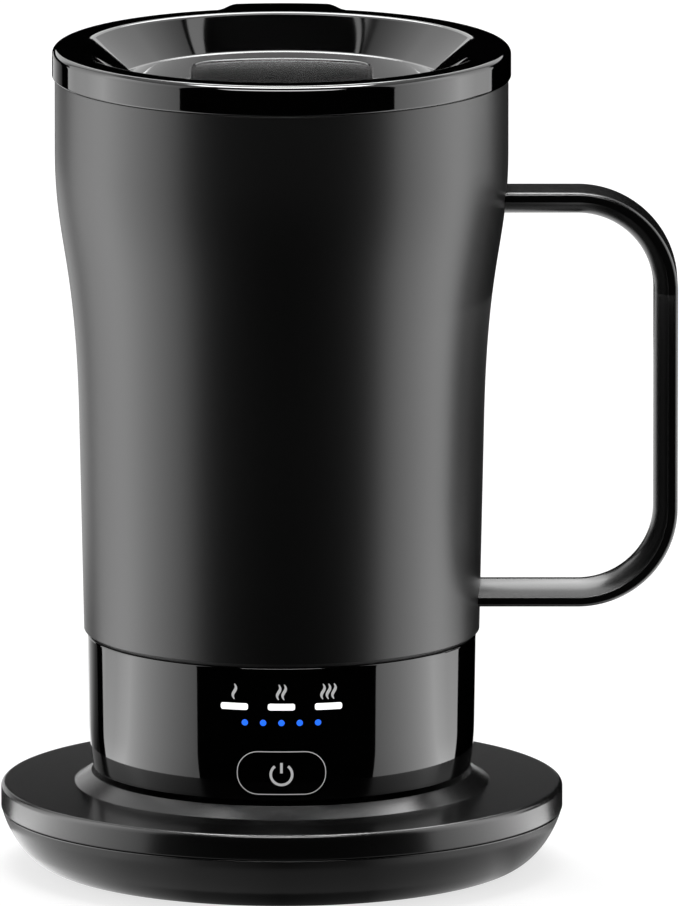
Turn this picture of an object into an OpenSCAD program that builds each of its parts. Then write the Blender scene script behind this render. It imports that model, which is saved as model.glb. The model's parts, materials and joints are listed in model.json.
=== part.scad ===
// Self-heating mug with a drink-through lid, standing on its charging coaster.
// Sizes in millimetres. Z is up, the handle points along +X and the display faces -Y.
// The origin is the centre of the pad under the coaster.

/* [Coaster] */
// Radius of the coaster's upright edge
coaster_r = 54; // [52:0.5:60]
// Height of the upright edge
coaster_edge_h = 5; // [4:0.1:8]
// Rounding along the top of the upright edge
coaster_edge_round = 1; // [0.3:0.1:1.2]
// Height of the bowl under the seam
coaster_bowl_h = 10.8; // [10:0.1:15]
// How far the bowl draws in from the seam to its flat bottom
coaster_bowl_draw = 10.3; // [7:0.1:12]
// Lean of the bowl's side from upright at the seam, in degrees
coaster_bowl_lean = 15; // [5:1:25]
// Length of the bowl's curve handle at the seam
bowl_seam_ease = 4.7; // [2:0.1:6]
// Length of the bowl's curve handle at its flat bottom
bowl_flat_ease = 5; // [2:0.1:6]
// Wall of the cover and the bowl
coaster_wall = 1.8; // [1.4:0.1:2.4]
// Height of the pedestal above the cover
pedestal_h = 2.2; // [1.5:0.1:4]
// Width of the slope round the pedestal's foot
pedestal_slope_w = 3.3; // [1:0.1:5]
// How far the pedestal's edge stays inside the mug's base
pedestal_inset = 0.75; // [0:0.05:1.5]
// Thickness of the anti-slip pad
pad_t = 1.2; // [0.8:0.1:2]
// How far the pad stands below the bowl
pad_proud = 0.4; // [0.2:0.1:0.7]
// Flat ring of the bowl left round the pad
pad_margin = 3.6; // [2:0.1:6]

/* [Charging] */
// Radius of a contact pin's plunger
pin_r = 1; // [0.7:0.05:1.4]
// Distance from the middle pin to each outer pin
pin_spacing = 15; // [12:0.5:17]
// How far a contact pin can be pushed in
pin_travel = 0.8; // [0.4:0.05:1.2]
// Width of the power inlet's mouth
inlet_w = 8.94; // [7:0.01:10]
// Height of the power inlet's mouth
inlet_h = 3.26; // [2.6:0.01:3.6]
// Depth of the power inlet
inlet_depth = 7.3; // [6:0.1:9]

/* [Mug base] */
// Radius of the glossy base at its top
base_r = 37.35; // [36.5:0.05:39]
// Wall of the glossy base
base_wall = 2.4; // [2:0.1:2.8]
// How much the glossy base narrows from its top to its bottom
base_taper = 0.4; // [0:0.05:0.8]
// How much further its lower edge tucks in
base_tuck = 0.65; // [0:0.05:1]
// Height over which the lower edge tucks in
base_tuck_h = 8.6; // [4:0.1:14]
// Clear height under the glossy base
foot_gap = 1; // [0.6:0.1:1.6]
// Height of the dark groove between base and body
seam_gap = 0.7; // [0.4:0.05:1.5]
// Depth of the dark groove between base and body
seam_depth = 0.8; // [0.4:0.05:1.2]
// Thickness of the bottom cover
bottom_cover_t = 2.5; // [2.2:0.1:3.5]
// Room under the control board for its solder joints
solder_gap = 1.2; // [0.8:0.1:3]
// Thickness of the circuit boards
board_t = 1.6; // [1:0.1:2]
// Radius of a battery cell
cell_r = 9; // [8:0.1:9.3]
// Length of a battery cell
cell_l = 50; // [40:0.5:51]
// Thickness of the chassis plate above the cells
chassis_t = 2.5; // [2:0.1:4]

/* [Mug body] */
// Radius of the body's collar under the lid
body_r = 43.5; // [42:0.1:47]
// Height of the body from its lower edge to the lid
body_h = 107.6; // [100:0.5:125]
// How far the body's lower edge stands out from the glossy base
body_step = 0.65; // [0.2:0.05:1.5]
// Radius of the waist
waist_r = 38.9; // [37.5:0.1:42]
// Height of the waist above the body's lower edge
waist_h = 41.3; // [30:0.5:50]
// Length of the waist's curve handle
waist_ease = 32; // [10:1:34]
// Height of the straight collar
collar_h = 14.3; // [11:0.1:20]
// Length of the shoulder's curve handle
shoulder_ease = 18; // [6:1:20]
// Sheet thickness of the outer shell
shell_t = 1; // [0.6:0.1:1.4]
// Insulating gap between shell and liner
wall_gap = 2.2; // [1.5:0.1:3]
// Sheet thickness of the liner
liner_t = 1; // [0.6:0.1:1.2]
// Thickness of the liner's flange under the lid
flange_t = 1.2; // [0.8:0.1:2]
// Rounding between the liner's floor and its wall
liner_corner = 8; // [4:0.5:12]
// Thickness of the heating element
heater_t = 1.5; // [1:0.1:3]
// Thickness of the heat shield
shield_t = 3; // [2:0.1:5]

/* [Handle] */
// How far the handle reaches out past the collar
handle_out = 32.5; // [28:0.5:42]
// Outer height of the handle
handle_h = 80.8; // [70:0.5:92]
// Height of the handle's underside above the body's lower edge
handle_lift = 5; // [2:0.5:12]
// Thickness of the strap
handle_t = 4.7; // [4:0.1:6]
// Width of the strap
handle_w = 11; // [8:0.5:16]
// Outer radius of the strap's bends
handle_bend = 19.2; // [12:0.2:26]
// Rounding of the strap's outer edges
handle_edge_out = 0.7; // [0.3:0.1:0.9]
// Height of the strap's sides, from its outer face to the rounded grip side
handle_side = 1.8; // [1:0.1:3]

/* [Display and button] */
// Width of a level bar
bar_w = 5.2; // [3:0.1:6]
// Height of a level bar
bar_h = 1.3; // [0.8:0.1:1.8]
// Distance from one level bar to the next
bar_pitch = 9; // [7:0.1:10]
// Depth of the level bars under the top of the glossy base
bar_drop = 7.6; // [6:0.1:9]
// Radius of a charge dot
dot_r = 0.6; // [0.4:0.05:0.8]
// Distance from one charge dot to the next
dot_pitch = 3.5; // [2.5:0.1:4]
// Depth of the charge dots under the level bars
dot_drop = 3.1; // [2.6:0.1:4]
// Width of the power button
button_w = 17.2; // [12:0.1:18]
// Height of the power button
button_h = 8.7; // [7.5:0.1:9.5]
// Corner radius of the power button
button_corner = 4.1; // [2:0.1:4.2]
// Gap round the power button
button_gap = 0.4; // [0.2:0.05:0.6]
// Strip of glossy base left under the power button
button_strip = 1.1; // [0.9:0.05:2]
// Travel of the power button
button_travel = 0.8; // [0.3:0.05:1]

/* [Lid] */
// How far the lid overhangs the collar
lid_overhang = 0.5; // [0:0.1:2]
// Height of the lid's outer band
lid_h = 5.7; // [4.5:0.1:9]
// Rounding of the lid's outer top edge
lid_edge_round = 1.3; // [0.5:0.1:2]
// Width of the lid's flat rim
lid_rim_w = 5.4; // [4.6:0.1:7]
// Width of the lid's slanted inner wall, in plan
lid_slope_w = 8; // [6:0.1:9]
// Depth of the lid's floor under its rim
lid_depth = 6.3; // [5:0.1:8]
// Rounding between the lid's flat rim and its slanted wall
lid_rim_round = 3; // [0.5:0.1:4]
// Rounding between the lid's slanted wall and its floor
lid_floor_round = 2; // [0.5:0.1:3]
// Wall of the lid
lid_wall = 2; // [1.6:0.1:2.4]
// How far the lid's plug reaches into the liner
plug_depth = 9.3; // [8:0.1:14]
// Gap between the lid's plug and the liner
plug_gap = 0.7; // [0.5:0.05:1]
// Height of the gasket
gasket_h = 2.4; // [1.6:0.1:3.4]
// How far the lift tab reaches out from the lid
tab_reach = 5.6; // [3:0.1:7]
// Width of the lift tab at its tip
tab_tip_w = 17.5; // [12:0.5:22]
// Width of the lift tab at its root
tab_root_w = 26; // [22:0.5:42]
// Thickness of the lift tab
tab_t = 3.5; // [2:0.1:4.4]

/* [Slider] */
// Width of the slider
slider_w = 35.1; // [30:0.1:37]
// Length of the slider
slider_l = 40.4; // [37:0.1:42]
// Thickness of the slider's plate
slider_t = 1.05; // [0.9:0.05:1.6]
// Corner radius of the slider
slider_corner = 7; // [4:0.5:9]
// Radius of the slider's bowed back edge
slider_bow_r = 35; // [30:1:80]
// Floor left in front of the slider
slider_front_gap = 5.6; // [5:0.1:7]
// Travel of the slider
slider_travel = 10; // [8:0.5:11]
// Width of the slider's raised thumb pad
thumb_w = 24; // [16:0.5:28]
// Length of the slider's raised thumb pad
thumb_l = 14.2; // [9:0.1:15]
// Height of the slider's raised thumb pad
thumb_h = 0.6; // [0.3:0.1:1.2]
// Width of the drink opening
drink_w = 16; // [10:0.5:18]
// Length of the drink opening
drink_l = 7; // [5:0.1:7.2]

/* [Clearances] */
// Gap of pieces that sit tight in one another
snug = 0.05; // [0.02:0.01:0.1]
// Gap of pieces that move past one another
clear = 0.3; // [0.2:0.05:0.4]

/* [Hidden] */
$fn = 96;

// Counts of steps along curves
corner_steps = 6;
body_steps = 24;
tuck_steps = 8;

// How far a cut runs past the face that it opens, and a post into what it stands on
past = 1;
// Straight bit left at each end of a pill-shaped hole
pill_flat = 0.05;

// Coaster heights
bowl_z = pad_proud;
coaster_seam_z = bowl_z + coaster_bowl_h;
coaster_top_z = coaster_seam_z + coaster_edge_h;
mug_z = coaster_top_z + pedestal_h;
coaster_floor_z = pad_t + coaster_wall;
coaster_step = 0.15;
coaster_lip_h = 2;
coaster_lip_t = 1.2;

// Coaster radii
bowl_top_r = coaster_r - coaster_step;
bowl_flat_r = bowl_top_r - coaster_bowl_draw;
pad_r = bowl_flat_r - pad_margin;
pedestal_r = base_r - pedestal_inset;

// Coaster fasteners and board
coaster_screw_r = 1.25;
coaster_head_r = 2.6;
coaster_head_h = 1.7;
coaster_boss_r = 4.4;
coaster_boss_h = 3;
coaster_post_r = 3.2;
coaster_post_edge = 0.6;
coaster_screw_cover = 1;
coaster_boss_z = coaster_floor_z + coaster_boss_h;
coaster_screw_top = coaster_top_z - coaster_wall - coaster_screw_cover;
coaster_screw_circle = pedestal_r - coaster_post_r - coaster_post_edge;
coaster_board_edge = 1.5;
coaster_board_r = coaster_screw_circle - coaster_boss_r - coaster_board_edge;
coaster_board_t = 1.2;
coaster_board_z = coaster_seam_z - inlet_h / 2 - coaster_board_t;
coaster_tongue_side = 3;
coaster_tongue_w = inlet_w + 2 * coaster_tongue_side;
coaster_lip_r = coaster_r - coaster_wall - snug;
bowl_inner_lean = (coaster_lip_r - coaster_lip_t - bowl_flat_r) / (coaster_seam_z - coaster_floor_z);
bowl_at_board_r = bowl_flat_r + (coaster_board_z - coaster_floor_z) * bowl_inner_lean - clear;
coaster_tongue_y = sqrt(pow(bowl_at_board_r, 2) - pow(coaster_tongue_w / 2, 2));
rest_r = 2.5;
rest_edge = 1;
coaster_rest_circle = coaster_board_r - rest_r - rest_edge;
inlet_wall = 0.3;
inlet_recess = 1.4;
inlet_y = bowl_top_r - inlet_recess;

// Contact pins and the pads that they meet
contact_t = 0.8;
contact_half_w = 2;
contact_disc_r = pin_spacing / 3;
pin_tip_gap = 0.05;
pin_end_gap = 0.2;
cover_proud = 0.1;
cover_z = foot_gap - cover_proud;
pin_tip_z = mug_z + cover_z - pin_tip_gap;
barrel_wall = 0.8;
barrel_r = pin_r + barrel_wall;
barrel_z = coaster_board_z + coaster_board_t;
barrel_floor = 0.6;
pin_z = barrel_z + barrel_floor + pin_travel + pin_end_gap;

// Heights of the mug, from the plane of its foot
cover_top = cover_z + bottom_cover_t;
control_z = cover_top + solder_gap;
control_top = control_z + board_t;
cradle_floor = 0.8;
cradle_side = 0.8;
cradle_grip = 7.2;
cradle_end = 2;
cell_gap = 0.2;
cradle_half_y = 2 * cell_r + cell_gap / 2 + cradle_side;
cell_z = control_top + cradle_floor + cell_r;
chassis_z = cell_z + cell_r + cell_gap;
shell_z = chassis_z + chassis_t;
base_top = shell_z - seam_gap;
heater_z = shell_z + shield_t;
liner_z = heater_z + heater_t;
rim_z = shell_z + body_h;
flange_z = rim_z - flange_t;
waist_z = shell_z + waist_h;
collar_z = rim_z - collar_h;

// Radii of the mug's base
base_in_r = base_r - base_wall;
base_edge_round = 0.4;
ledge_w = 1.5;
ledge_h = 0.8;
groove_r = base_r - seam_depth;
spigot_h = 4;
spigot_w = 2;
shell_lip_w = 2.5;
screw_angle = 53.13;
base_screw_r = 1.2;
base_head_r = 2.5;
base_head_h = 1.3;
base_head_recess = 0.2;
post_r = 3;
post_edge = 2;
base_screw_circle = base_in_r - post_r - post_edge;
base_screw_l = 8;
base_screw_end_gap = 0.5;
foot_side_in = 3;
foot_side_out = 1.4;
foot_groove = 1;
foot_in_r = pin_spacing + contact_half_w + foot_side_in;
foot_out_r = base_screw_circle - base_head_r - foot_side_out;
foot_t = foot_gap + foot_groove;

// Radii and curves of the mug's body
foot_r = base_r + body_step;
lip_in_r = foot_r - shell_lip_w;
taper = (waist_r - foot_r) / waist_h;
curve_room = 0.62 * (collar_z - waist_z);
waist_pull = min(waist_ease, curve_room);
shoulder_pull = min(shoulder_ease, curve_room);
liner_out = shell_t + wall_gap;
liner_in = liner_out + liner_t;
mouth_r = body_r - liner_in;
sensor_r = 3;
lead_r = 0.8;
lead_side = 1.6;
lead_x = cell_l / 2 + lead_side;
heater_edge = 1.4;
heater_r = lead_x + heater_edge;

// Handle places
handle_x = body_r + handle_out;
handle_z = shell_z + handle_lift;
handle_mid_x = handle_x - handle_bend;
handle_low_z = handle_z + handle_bend;
handle_high_z = handle_z + handle_h - handle_bend;
handle_root = 8;
handle_arm_l = handle_mid_x - waist_r + handle_root;

// Display and button places
button_z = foot_gap + button_strip + button_h / 2;
bar_z = base_top - bar_drop;
bar_corner = bar_h / 3;
dot_z = bar_z - dot_drop;
ear_w = 1.4;
ear_t = 1.2;
ear_h = 3;
ear_play = 0.05;
ear_x = button_w / 2 + ear_w;
ear_y = sqrt(base_in_r * base_in_r - ear_x * ear_x) - clear - ear_play;
button_back_y = ear_y - ear_t;
stem_r = 1.15;
stem_l = 2;
stem_fit = 0.08;
stem_end_gap = 0.1;
switch_w = 6;
switch_h = 5;
switch_t = 2.2;
switch_gap = 0.4;
switch_y = button_back_y - button_travel - switch_gap;
display_y = switch_y - switch_t;
display_t = 1.2;
display_side = 2;
display_foot = 0.3;
display_gap = 0.4;
display_half_w = bar_pitch + bar_w / 2 + display_side;
display_low_z = button_z - switch_h / 2 - display_foot;
display_high_z = chassis_z - display_gap;
led_t = 0.7;
led_h = 0.9;
led_gap = 0.2;
pipe_y = display_y + led_t + led_gap;
mask_side = 0.6;
mask_edge = 1.2;
mask_half_w = bar_pitch + bar_w / 2 + mask_side;
mask_y = sqrt(base_in_r * base_in_r - mask_half_w * mask_half_w) - clear;
mask_low_z = dot_z - dot_r - mask_edge;
mask_high_z = bar_z + bar_h / 2 + mask_edge;
rail_w = 1.4;
rail_grip = 1.2;
rail_reach = 2;
rail_low_z = mask_low_z - rail_reach;

// Lid heights and radii
lid_r = body_r + lid_overhang;
lid_z = rim_z;
lid_top = lid_z + lid_h;
lid_floor_z = lid_top - lid_depth;
lid_under_z = lid_floor_z - lid_wall;
lid_in_r = lid_r - lid_rim_w;
lid_floor_r = lid_in_r - lid_slope_w;
plug_r = mouth_r - plug_gap;
plug_wall = 2.4;
plug_in_r = plug_r - plug_wall;
plug_z = lid_z - plug_depth;
groove_depth = 1.2;
gasket_lift = 3;
gasket_z = plug_z + gasket_lift;
gasket_r = mouth_r - clear;
tab_start = 0.2;
tab_sink = 2;

// Slider places
slider_front = slider_front_gap - lid_floor_r;
slider_back = slider_front + slider_l;
slider_lift = 0.15;
slider_z = lid_floor_z + slider_lift;
drink_edge = 1;
drink_y = slider_front + drink_edge + drink_l / 2;
seal_margin = 0.8;
seal_t = 0.5;
seal_gap = 0.05;
thumb_edge = 1.2;
thumb_y = slider_front + thumb_edge + thumb_l / 2;
keel_w = 8;
keel_l = 9;
keel_y = slider_front + slider_l / 2;
keel_slot_end = 0.3;
retainer_t = 1.4;
retainer_gap = 0.2;
retainer_side = 3;

// Curves

function bezier(p, t) =
  pow(1 - t, 3) * p[0] + 3 * t * pow(1 - t, 2) * p[1] + 3 * t * t * (1 - t) * p[2] + pow(t, 3) * p[3];

function bezier_run(p, steps) = [for (i = [0:steps]) bezier(p, i / steps)];

function arc_run(centre, r, start, end, steps) =
  [for (i = [0:steps]) let (a = start + (end - start) * i / steps) centre + r * [cos(a), sin(a)]];

function backwards(points) = [for (i = [len(points) - 1:-1:0]) points[i]];

// A rectangle with rounded corners, centred on the origin
function pill(w, h, corner) = concat(
  arc_run([w / 2 - corner, corner - h / 2], corner, -90, 0, corner_steps),
  arc_run([w / 2 - corner, h / 2 - corner], corner, 0, 90, corner_steps),
  arc_run([corner - w / 2, h / 2 - corner], corner, 90, 180, corner_steps),
  arc_run([corner - w / 2, corner - h / 2], corner, 180, 270, corner_steps)
);

module lathe(points) {
  rotate_extrude() polygon(points);
}

// Shapes pushed through the front of the base, from depth y out past its face
module through_front(y, z) {
  translate([0, -y, z])
    rotate([90, 0, 0])
      linear_extrude(base_r + past - y) children();
}

module on_coaster() {
  translate([0, 0, mug_z]) children();
}

module at_coaster_screws() {
  for (a = [30, 150, 270])
    rotate(a) translate([coaster_screw_circle, 0, 0]) children();
}

module at_base_screws() {
  for (a = [screw_angle, 180 - screw_angle, 180 + screw_angle, 360 - screw_angle])
    rotate(a) translate([base_screw_circle, 0, 0]) children();
}

module at_pins() {
  for (x = [-pin_spacing, 0, pin_spacing])
    translate([x, 0, 0]) children();
}

// Coaster

function bowl_outline() = bezier_run([
  [bowl_flat_r, bowl_z],
  [bowl_flat_r + bowl_flat_ease, bowl_z],
  [bowl_top_r, coaster_seam_z] - bowl_seam_ease * [sin(coaster_bowl_lean), cos(coaster_bowl_lean)],
  [bowl_top_r, coaster_seam_z]
], body_steps);

module inlet_opening() {
  translate([0, inlet_y - inlet_depth - past, coaster_seam_z])
    rotate([-90, 0, 0])
      linear_extrude(inlet_depth + coaster_r - inlet_y + 2 * past)
        polygon(pill(inlet_w + 2 * snug, inlet_h + 2 * snug, inlet_h / 2 + snug));
}

module coaster_base() color("#1c1c1c") {
  difference() {
    union() {
      lathe(concat(
        [[0, pad_t], [pad_r + snug, pad_t], [pad_r + snug, bowl_z]],
        bowl_outline(),
        [
          [coaster_lip_r, coaster_seam_z],
          [coaster_lip_r, coaster_seam_z + coaster_lip_h],
          [coaster_lip_r - coaster_lip_t, coaster_seam_z + coaster_lip_h],
          [coaster_lip_r - coaster_lip_t, coaster_seam_z],
          [bowl_flat_r, coaster_floor_z],
          [0, coaster_floor_z]
        ]
      ));
      at_coaster_screws()
        translate([0, 0, pad_t]) cylinder(r = coaster_boss_r, h = coaster_boss_z - pad_t);
      for (a = [90, 210, 330])
        rotate(a) translate([coaster_rest_circle, 0, pad_t])
          cylinder(r = rest_r, h = coaster_board_z - pad_t);
    }
    at_coaster_screws() {
      translate([0, 0, pad_t - past]) cylinder(r = coaster_head_r + clear, h = coaster_head_h + past);
      cylinder(r = coaster_screw_r + clear, h = coaster_boss_z + past);
    }
    inlet_opening();
  }
}

module coaster_top() color("#202020") {
  in_r = coaster_r - coaster_wall;
  step_r = pedestal_r - coaster_wall;
  edge = coaster_edge_round;
  difference() {
    union() {
      lathe(concat(
        [[in_r, coaster_seam_z], [coaster_r, coaster_seam_z]],
        arc_run([coaster_r - edge, coaster_top_z - edge], edge, 0, 90, corner_steps),
        [
          [pedestal_r + pedestal_slope_w, coaster_top_z],
          [pedestal_r, mug_z],
          [0, mug_z],
          [0, mug_z - coaster_wall],
          [step_r, mug_z - coaster_wall],
          [step_r, coaster_top_z - coaster_wall],
          [in_r, coaster_top_z - coaster_wall]
        ]
      ));
      at_coaster_screws()
        translate([0, 0, coaster_boss_z])
          cylinder(r = coaster_post_r, h = mug_z - coaster_wall / 2 - coaster_boss_z);
    }
    at_coaster_screws()
      translate([0, 0, coaster_boss_z - past])
        cylinder(r = coaster_screw_r + snug, h = coaster_screw_top + snug - coaster_boss_z + past);
    at_pins() translate([0, 0, coaster_top_z - coaster_wall])
      cylinder(r = pin_r + clear, h = pedestal_h + coaster_wall + past);
    inlet_opening();
  }
}

module coaster_pad() color("#2c2c2c") {
  cylinder(r = pad_r, h = pad_t);
}

module coaster_board() color("#1d5a38") {
  translate([0, 0, coaster_board_z])
    union() {
      cylinder(r = coaster_board_r, h = coaster_board_t);
      translate([-coaster_tongue_w / 2, 0, 0])
        cube([coaster_tongue_w, coaster_tongue_y, coaster_board_t]);
    }
}

module coaster_screws() color("silver") {
  at_coaster_screws()
    translate([0, 0, pad_t])
      union() {
        cylinder(r = coaster_head_r, h = coaster_head_h);
        cylinder(r = coaster_screw_r, h = coaster_screw_top - pad_t);
      }
}

module contact_barrels() color("goldenrod") {
  at_pins()
    translate([0, 0, barrel_z])
      difference() {
        cylinder(r = barrel_r, h = mug_z - coaster_wall - barrel_z);
        translate([0, 0, barrel_floor]) cylinder(r = pin_r + snug, h = mug_z);
      }
}

module contact_pin() color("gold") {
  translate([0, 0, pin_z]) cylinder(r = pin_r, h = pin_tip_z - pin_z);
}

module contact_pin_left() {
  translate([-pin_spacing, 0, 0]) contact_pin();
}

module contact_pin_centre() {
  contact_pin();
}

module contact_pin_right() {
  translate([pin_spacing, 0, 0]) contact_pin();
}

module power_inlet() color("silver") {
  back_t = 1;
  tongue_side = 1.15;
  tongue_end = 0.6;
  tongue_t = 0.7;
  tongue_w = inlet_w - 2 * tongue_side;
  tongue_l = inlet_depth - back_t - tongue_end;
  translate([0, inlet_y - inlet_depth, coaster_seam_z])
    rotate([-90, 0, 0])
      union() {
        difference() {
          linear_extrude(inlet_depth) polygon(pill(inlet_w, inlet_h, inlet_h / 2 - pill_flat));
          translate([0, 0, back_t])
            linear_extrude(inlet_depth)
              polygon(pill(
                inlet_w - 2 * inlet_wall, inlet_h - 2 * inlet_wall, inlet_h / 2 - inlet_wall - pill_flat
              ));
        }
        translate([-tongue_w / 2, -tongue_t / 2, back_t / 2]) cube([tongue_w, tongue_t, tongue_l]);
      }
}

// Mug base

// Radius of the glossy base at a height over the foot plane
function base_line(z) = base_r - base_taper * (base_top - z) / (base_top - foot_gap);
function base_tuck_top() = foot_gap + base_tuck_h;
function base_radius(z) =
  base_line(z) - base_tuck * pow(max(0, base_tuck_top() - z) / base_tuck_h, 2);

function base_outline() = concat(
  [
    for (i = [0:tuck_steps])
      let (z = foot_gap + base_tuck_h * i / tuck_steps) [base_radius(z), z]
  ],
  arc_run([base_r - base_edge_round, base_top - base_edge_round], base_edge_round, 0, 90, corner_steps)
);

module base_solid() {
  lathe(concat([[0, foot_gap]], base_outline(), [[0, base_top]]));
}

module bar_shapes(grow) {
  for (x = [-bar_pitch, 0, bar_pitch])
    translate([x, 0]) polygon(pill(bar_w + 2 * grow, bar_h + 2 * grow, bar_corner + grow));
}

module dot_shapes(grow) {
  for (i = [-2:2])
    translate([i * dot_pitch, 0]) circle(r = dot_r + grow);
}

module button_shape(grow) {
  polygon(pill(button_w + 2 * grow, button_h + 2 * grow, button_corner + grow));
}

module bottom_cover() color("#1a1a1a") on_coaster() {
  notch_side = 1;
  notch_w = button_w + 2 * (ear_w + notch_side);
  notch_y = button_back_y - button_travel - clear;
  board_rest_edge = 8;
  board_rest_x = base_in_r - board_rest_edge;
  board_rest_y = 7;
  rest_sink = 0.5;
  difference() {
    union() {
      translate([0, 0, cover_z]) cylinder(r = base_in_r - snug, h = bottom_cover_t);
      for (x = [-1, 1], y = [-1, 1])
        translate([x * board_rest_x, y * board_rest_y, cover_top - rest_sink])
          cylinder(r = rest_r, h = solder_gap + rest_sink);
    }
    translate([0, 0, cover_z - past]) cylinder(r = contact_disc_r + snug, h = contact_t + past);
    translate([0, 0, cover_z])
      lathe([
        [pin_spacing - contact_half_w - snug, -past], [pin_spacing + contact_half_w + snug, -past],
        [pin_spacing + contact_half_w + snug, contact_t], [pin_spacing - contact_half_w - snug, contact_t]
      ]);
    lathe([
      [foot_in_r - snug, -past], [foot_out_r + snug, -past],
      [foot_out_r + snug, foot_t], [foot_in_r - snug, foot_t]
    ]);
    for (x = [0, pin_spacing])
      translate([x, 0, 0]) cylinder(r = pin_r + snug, h = cover_top + past);
    at_base_screws() {
      cylinder(r = base_head_r + clear, h = cover_z + base_head_h);
      cylinder(r = base_screw_r + clear, h = cover_top + past);
    }
    translate([-notch_w / 2, -base_r - past, button_z - button_h / 2 - button_gap])
      cube([notch_w, base_r + past - notch_y, button_h]);
  }
}

module foot_ring() color("#303030") on_coaster() {
  lathe([[foot_in_r, 0], [foot_out_r, 0], [foot_out_r, foot_t], [foot_in_r, foot_t]]);
}

module contact_disc() color("goldenrod") on_coaster() {
  translate([0, 0, cover_z]) cylinder(r = contact_disc_r, h = contact_t);
}

module contact_ring() color("goldenrod") on_coaster() {
  translate([0, 0, cover_z])
    lathe([
      [pin_spacing - contact_half_w, 0], [pin_spacing + contact_half_w, 0],
      [pin_spacing + contact_half_w, contact_t], [pin_spacing - contact_half_w, contact_t]
    ]);
}

module contact_studs() color("goldenrod") on_coaster() {
  for (x = [0, pin_spacing])
    translate([x, 0, cover_z + contact_t]) cylinder(r = pin_r, h = control_z - cover_z - contact_t);
}

module base_screws() color("silver") on_coaster() {
  at_base_screws()
    translate([0, 0, cover_z + base_head_recess])
      union() {
        cylinder(r = base_head_r, h = base_head_h - base_head_recess);
        cylinder(r = base_screw_r, h = bottom_cover_t + base_screw_l - base_screw_end_gap);
      }
}

module base_housing() color("#0c0c0c") on_coaster() {
  difference() {
    lathe(concat(
      base_outline(),
      [
        [base_in_r, base_top],
        [base_in_r, cover_top + ledge_h],
        [base_in_r - ledge_w, cover_top + ledge_h],
        [base_in_r - ledge_w, cover_top],
        [base_in_r, cover_top],
        [base_in_r, foot_gap]
      ]
    ));
    through_front(button_back_y - 2 * ledge_w, button_z) button_shape(button_gap);
    through_front(pipe_y, bar_z) bar_shapes(snug);
    through_front(pipe_y, dot_z) dot_shapes(snug);
  }
}

module control_board() color("#1d5a38") on_coaster() {
  difference() {
    translate([0, 0, control_z]) cylinder(r = base_in_r - 2 * ledge_w, h = board_t);
    at_base_screws()
      translate([0, 0, control_z - past]) cylinder(r = post_r + clear, h = board_t + 2 * past);
    translate([-base_r, -base_r - display_y + display_t + display_gap, control_z - past])
      cube([2 * base_r, base_r, board_t + 2 * past]);
  }
}

module board_components() color("#3a3a3a") on_coaster() {
  choke_r = 4;
  choke_h = 5;
  capacitor_r = 2.6;
  capacitor_h = 6.5;
  driver_w = 6;
  driver_h = 1.6;
  part_gap = 2.4;
  row_y = cradle_half_y + choke_r + part_gap / 2;
  translate([-capacitor_r - part_gap - choke_r, row_y, control_top]) cylinder(r = choke_r, h = choke_h);
  translate([0, row_y, control_top]) cylinder(r = capacitor_r, h = capacitor_h);
  translate([capacitor_r + part_gap, row_y - driver_w / 2, control_top]) cube([driver_w, driver_w, driver_h]);
}

module board_connector() color("#e8e4d8") on_coaster() {
  connector_w = 10;
  connector_l = 3;
  connector_h = 2.6;
  translate([-connector_w / 2, display_t - display_y, control_top])
    cube([connector_w, connector_l, connector_h]);
}

module at_cells() {
  for (side = [-1, 1])
    translate([-cell_l / 2, side * (cell_r + cell_gap / 2), cell_z]) rotate([0, 90, 0]) children();
}

module battery_cradle() color("#4a4a4a") on_coaster() {
  half_x = cell_l / 2 - cradle_end;
  difference() {
    translate([-half_x, -cradle_half_y, control_top])
      cube([2 * half_x, 2 * cradle_half_y, cradle_floor + cradle_grip]);
    at_cells() cylinder(r = cell_r + snug, h = cell_l);
  }
}

module battery_cells() color("#2b5fa8") on_coaster() {
  at_cells() cylinder(r = cell_r, h = cell_l);
}

module display_board() color("#1d5a38") on_coaster() {
  translate([-display_half_w, -display_y, display_low_z])
    cube([2 * display_half_w, display_t, display_high_z - display_low_z]);
}

module indicator_leds() color("#f4f1e4") on_coaster() {
  dot_led = 1.2 * dot_r;
  for (x = [-bar_pitch, 0, bar_pitch])
    translate([x - bar_w / 4, -display_y - led_t, bar_z - led_h / 2]) cube([bar_w / 2, led_t, led_h]);
  for (i = [-2:2])
    translate([i * dot_pitch - dot_led / 2, -display_y - led_t, dot_z - dot_led / 2])
      cube([dot_led, led_t, dot_led]);
}

module light_mask() color("#151515") on_coaster() {
  difference() {
    translate([-mask_half_w, -mask_y, mask_low_z])
      cube([2 * mask_half_w, mask_y - display_y, mask_high_z - mask_low_z]);
    through_front(display_y - past, bar_z) bar_shapes(snug);
    through_front(display_y - past, dot_z) dot_shapes(snug);
  }
}

module level_bars() color("#ffffff") on_coaster() {
  intersection() {
    through_front(pipe_y, bar_z) bar_shapes(0);
    base_solid();
  }
}

module charge_dots() color("#2f6bff") on_coaster() {
  intersection() {
    through_front(pipe_y, dot_z) dot_shapes(0);
    base_solid();
  }
}

module tact_switch() color("#6b6b6b") on_coaster() {
  bore_y = button_back_y - stem_l - button_travel - stem_end_gap;
  difference() {
    translate([-switch_w / 2, -switch_y, button_z - switch_h / 2]) cube([switch_w, switch_t, switch_h]);
    translate([0, -bore_y, button_z]) rotate([90, 0, 0]) cylinder(r = stem_r + stem_fit, h = switch_t);
  }
}

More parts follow.
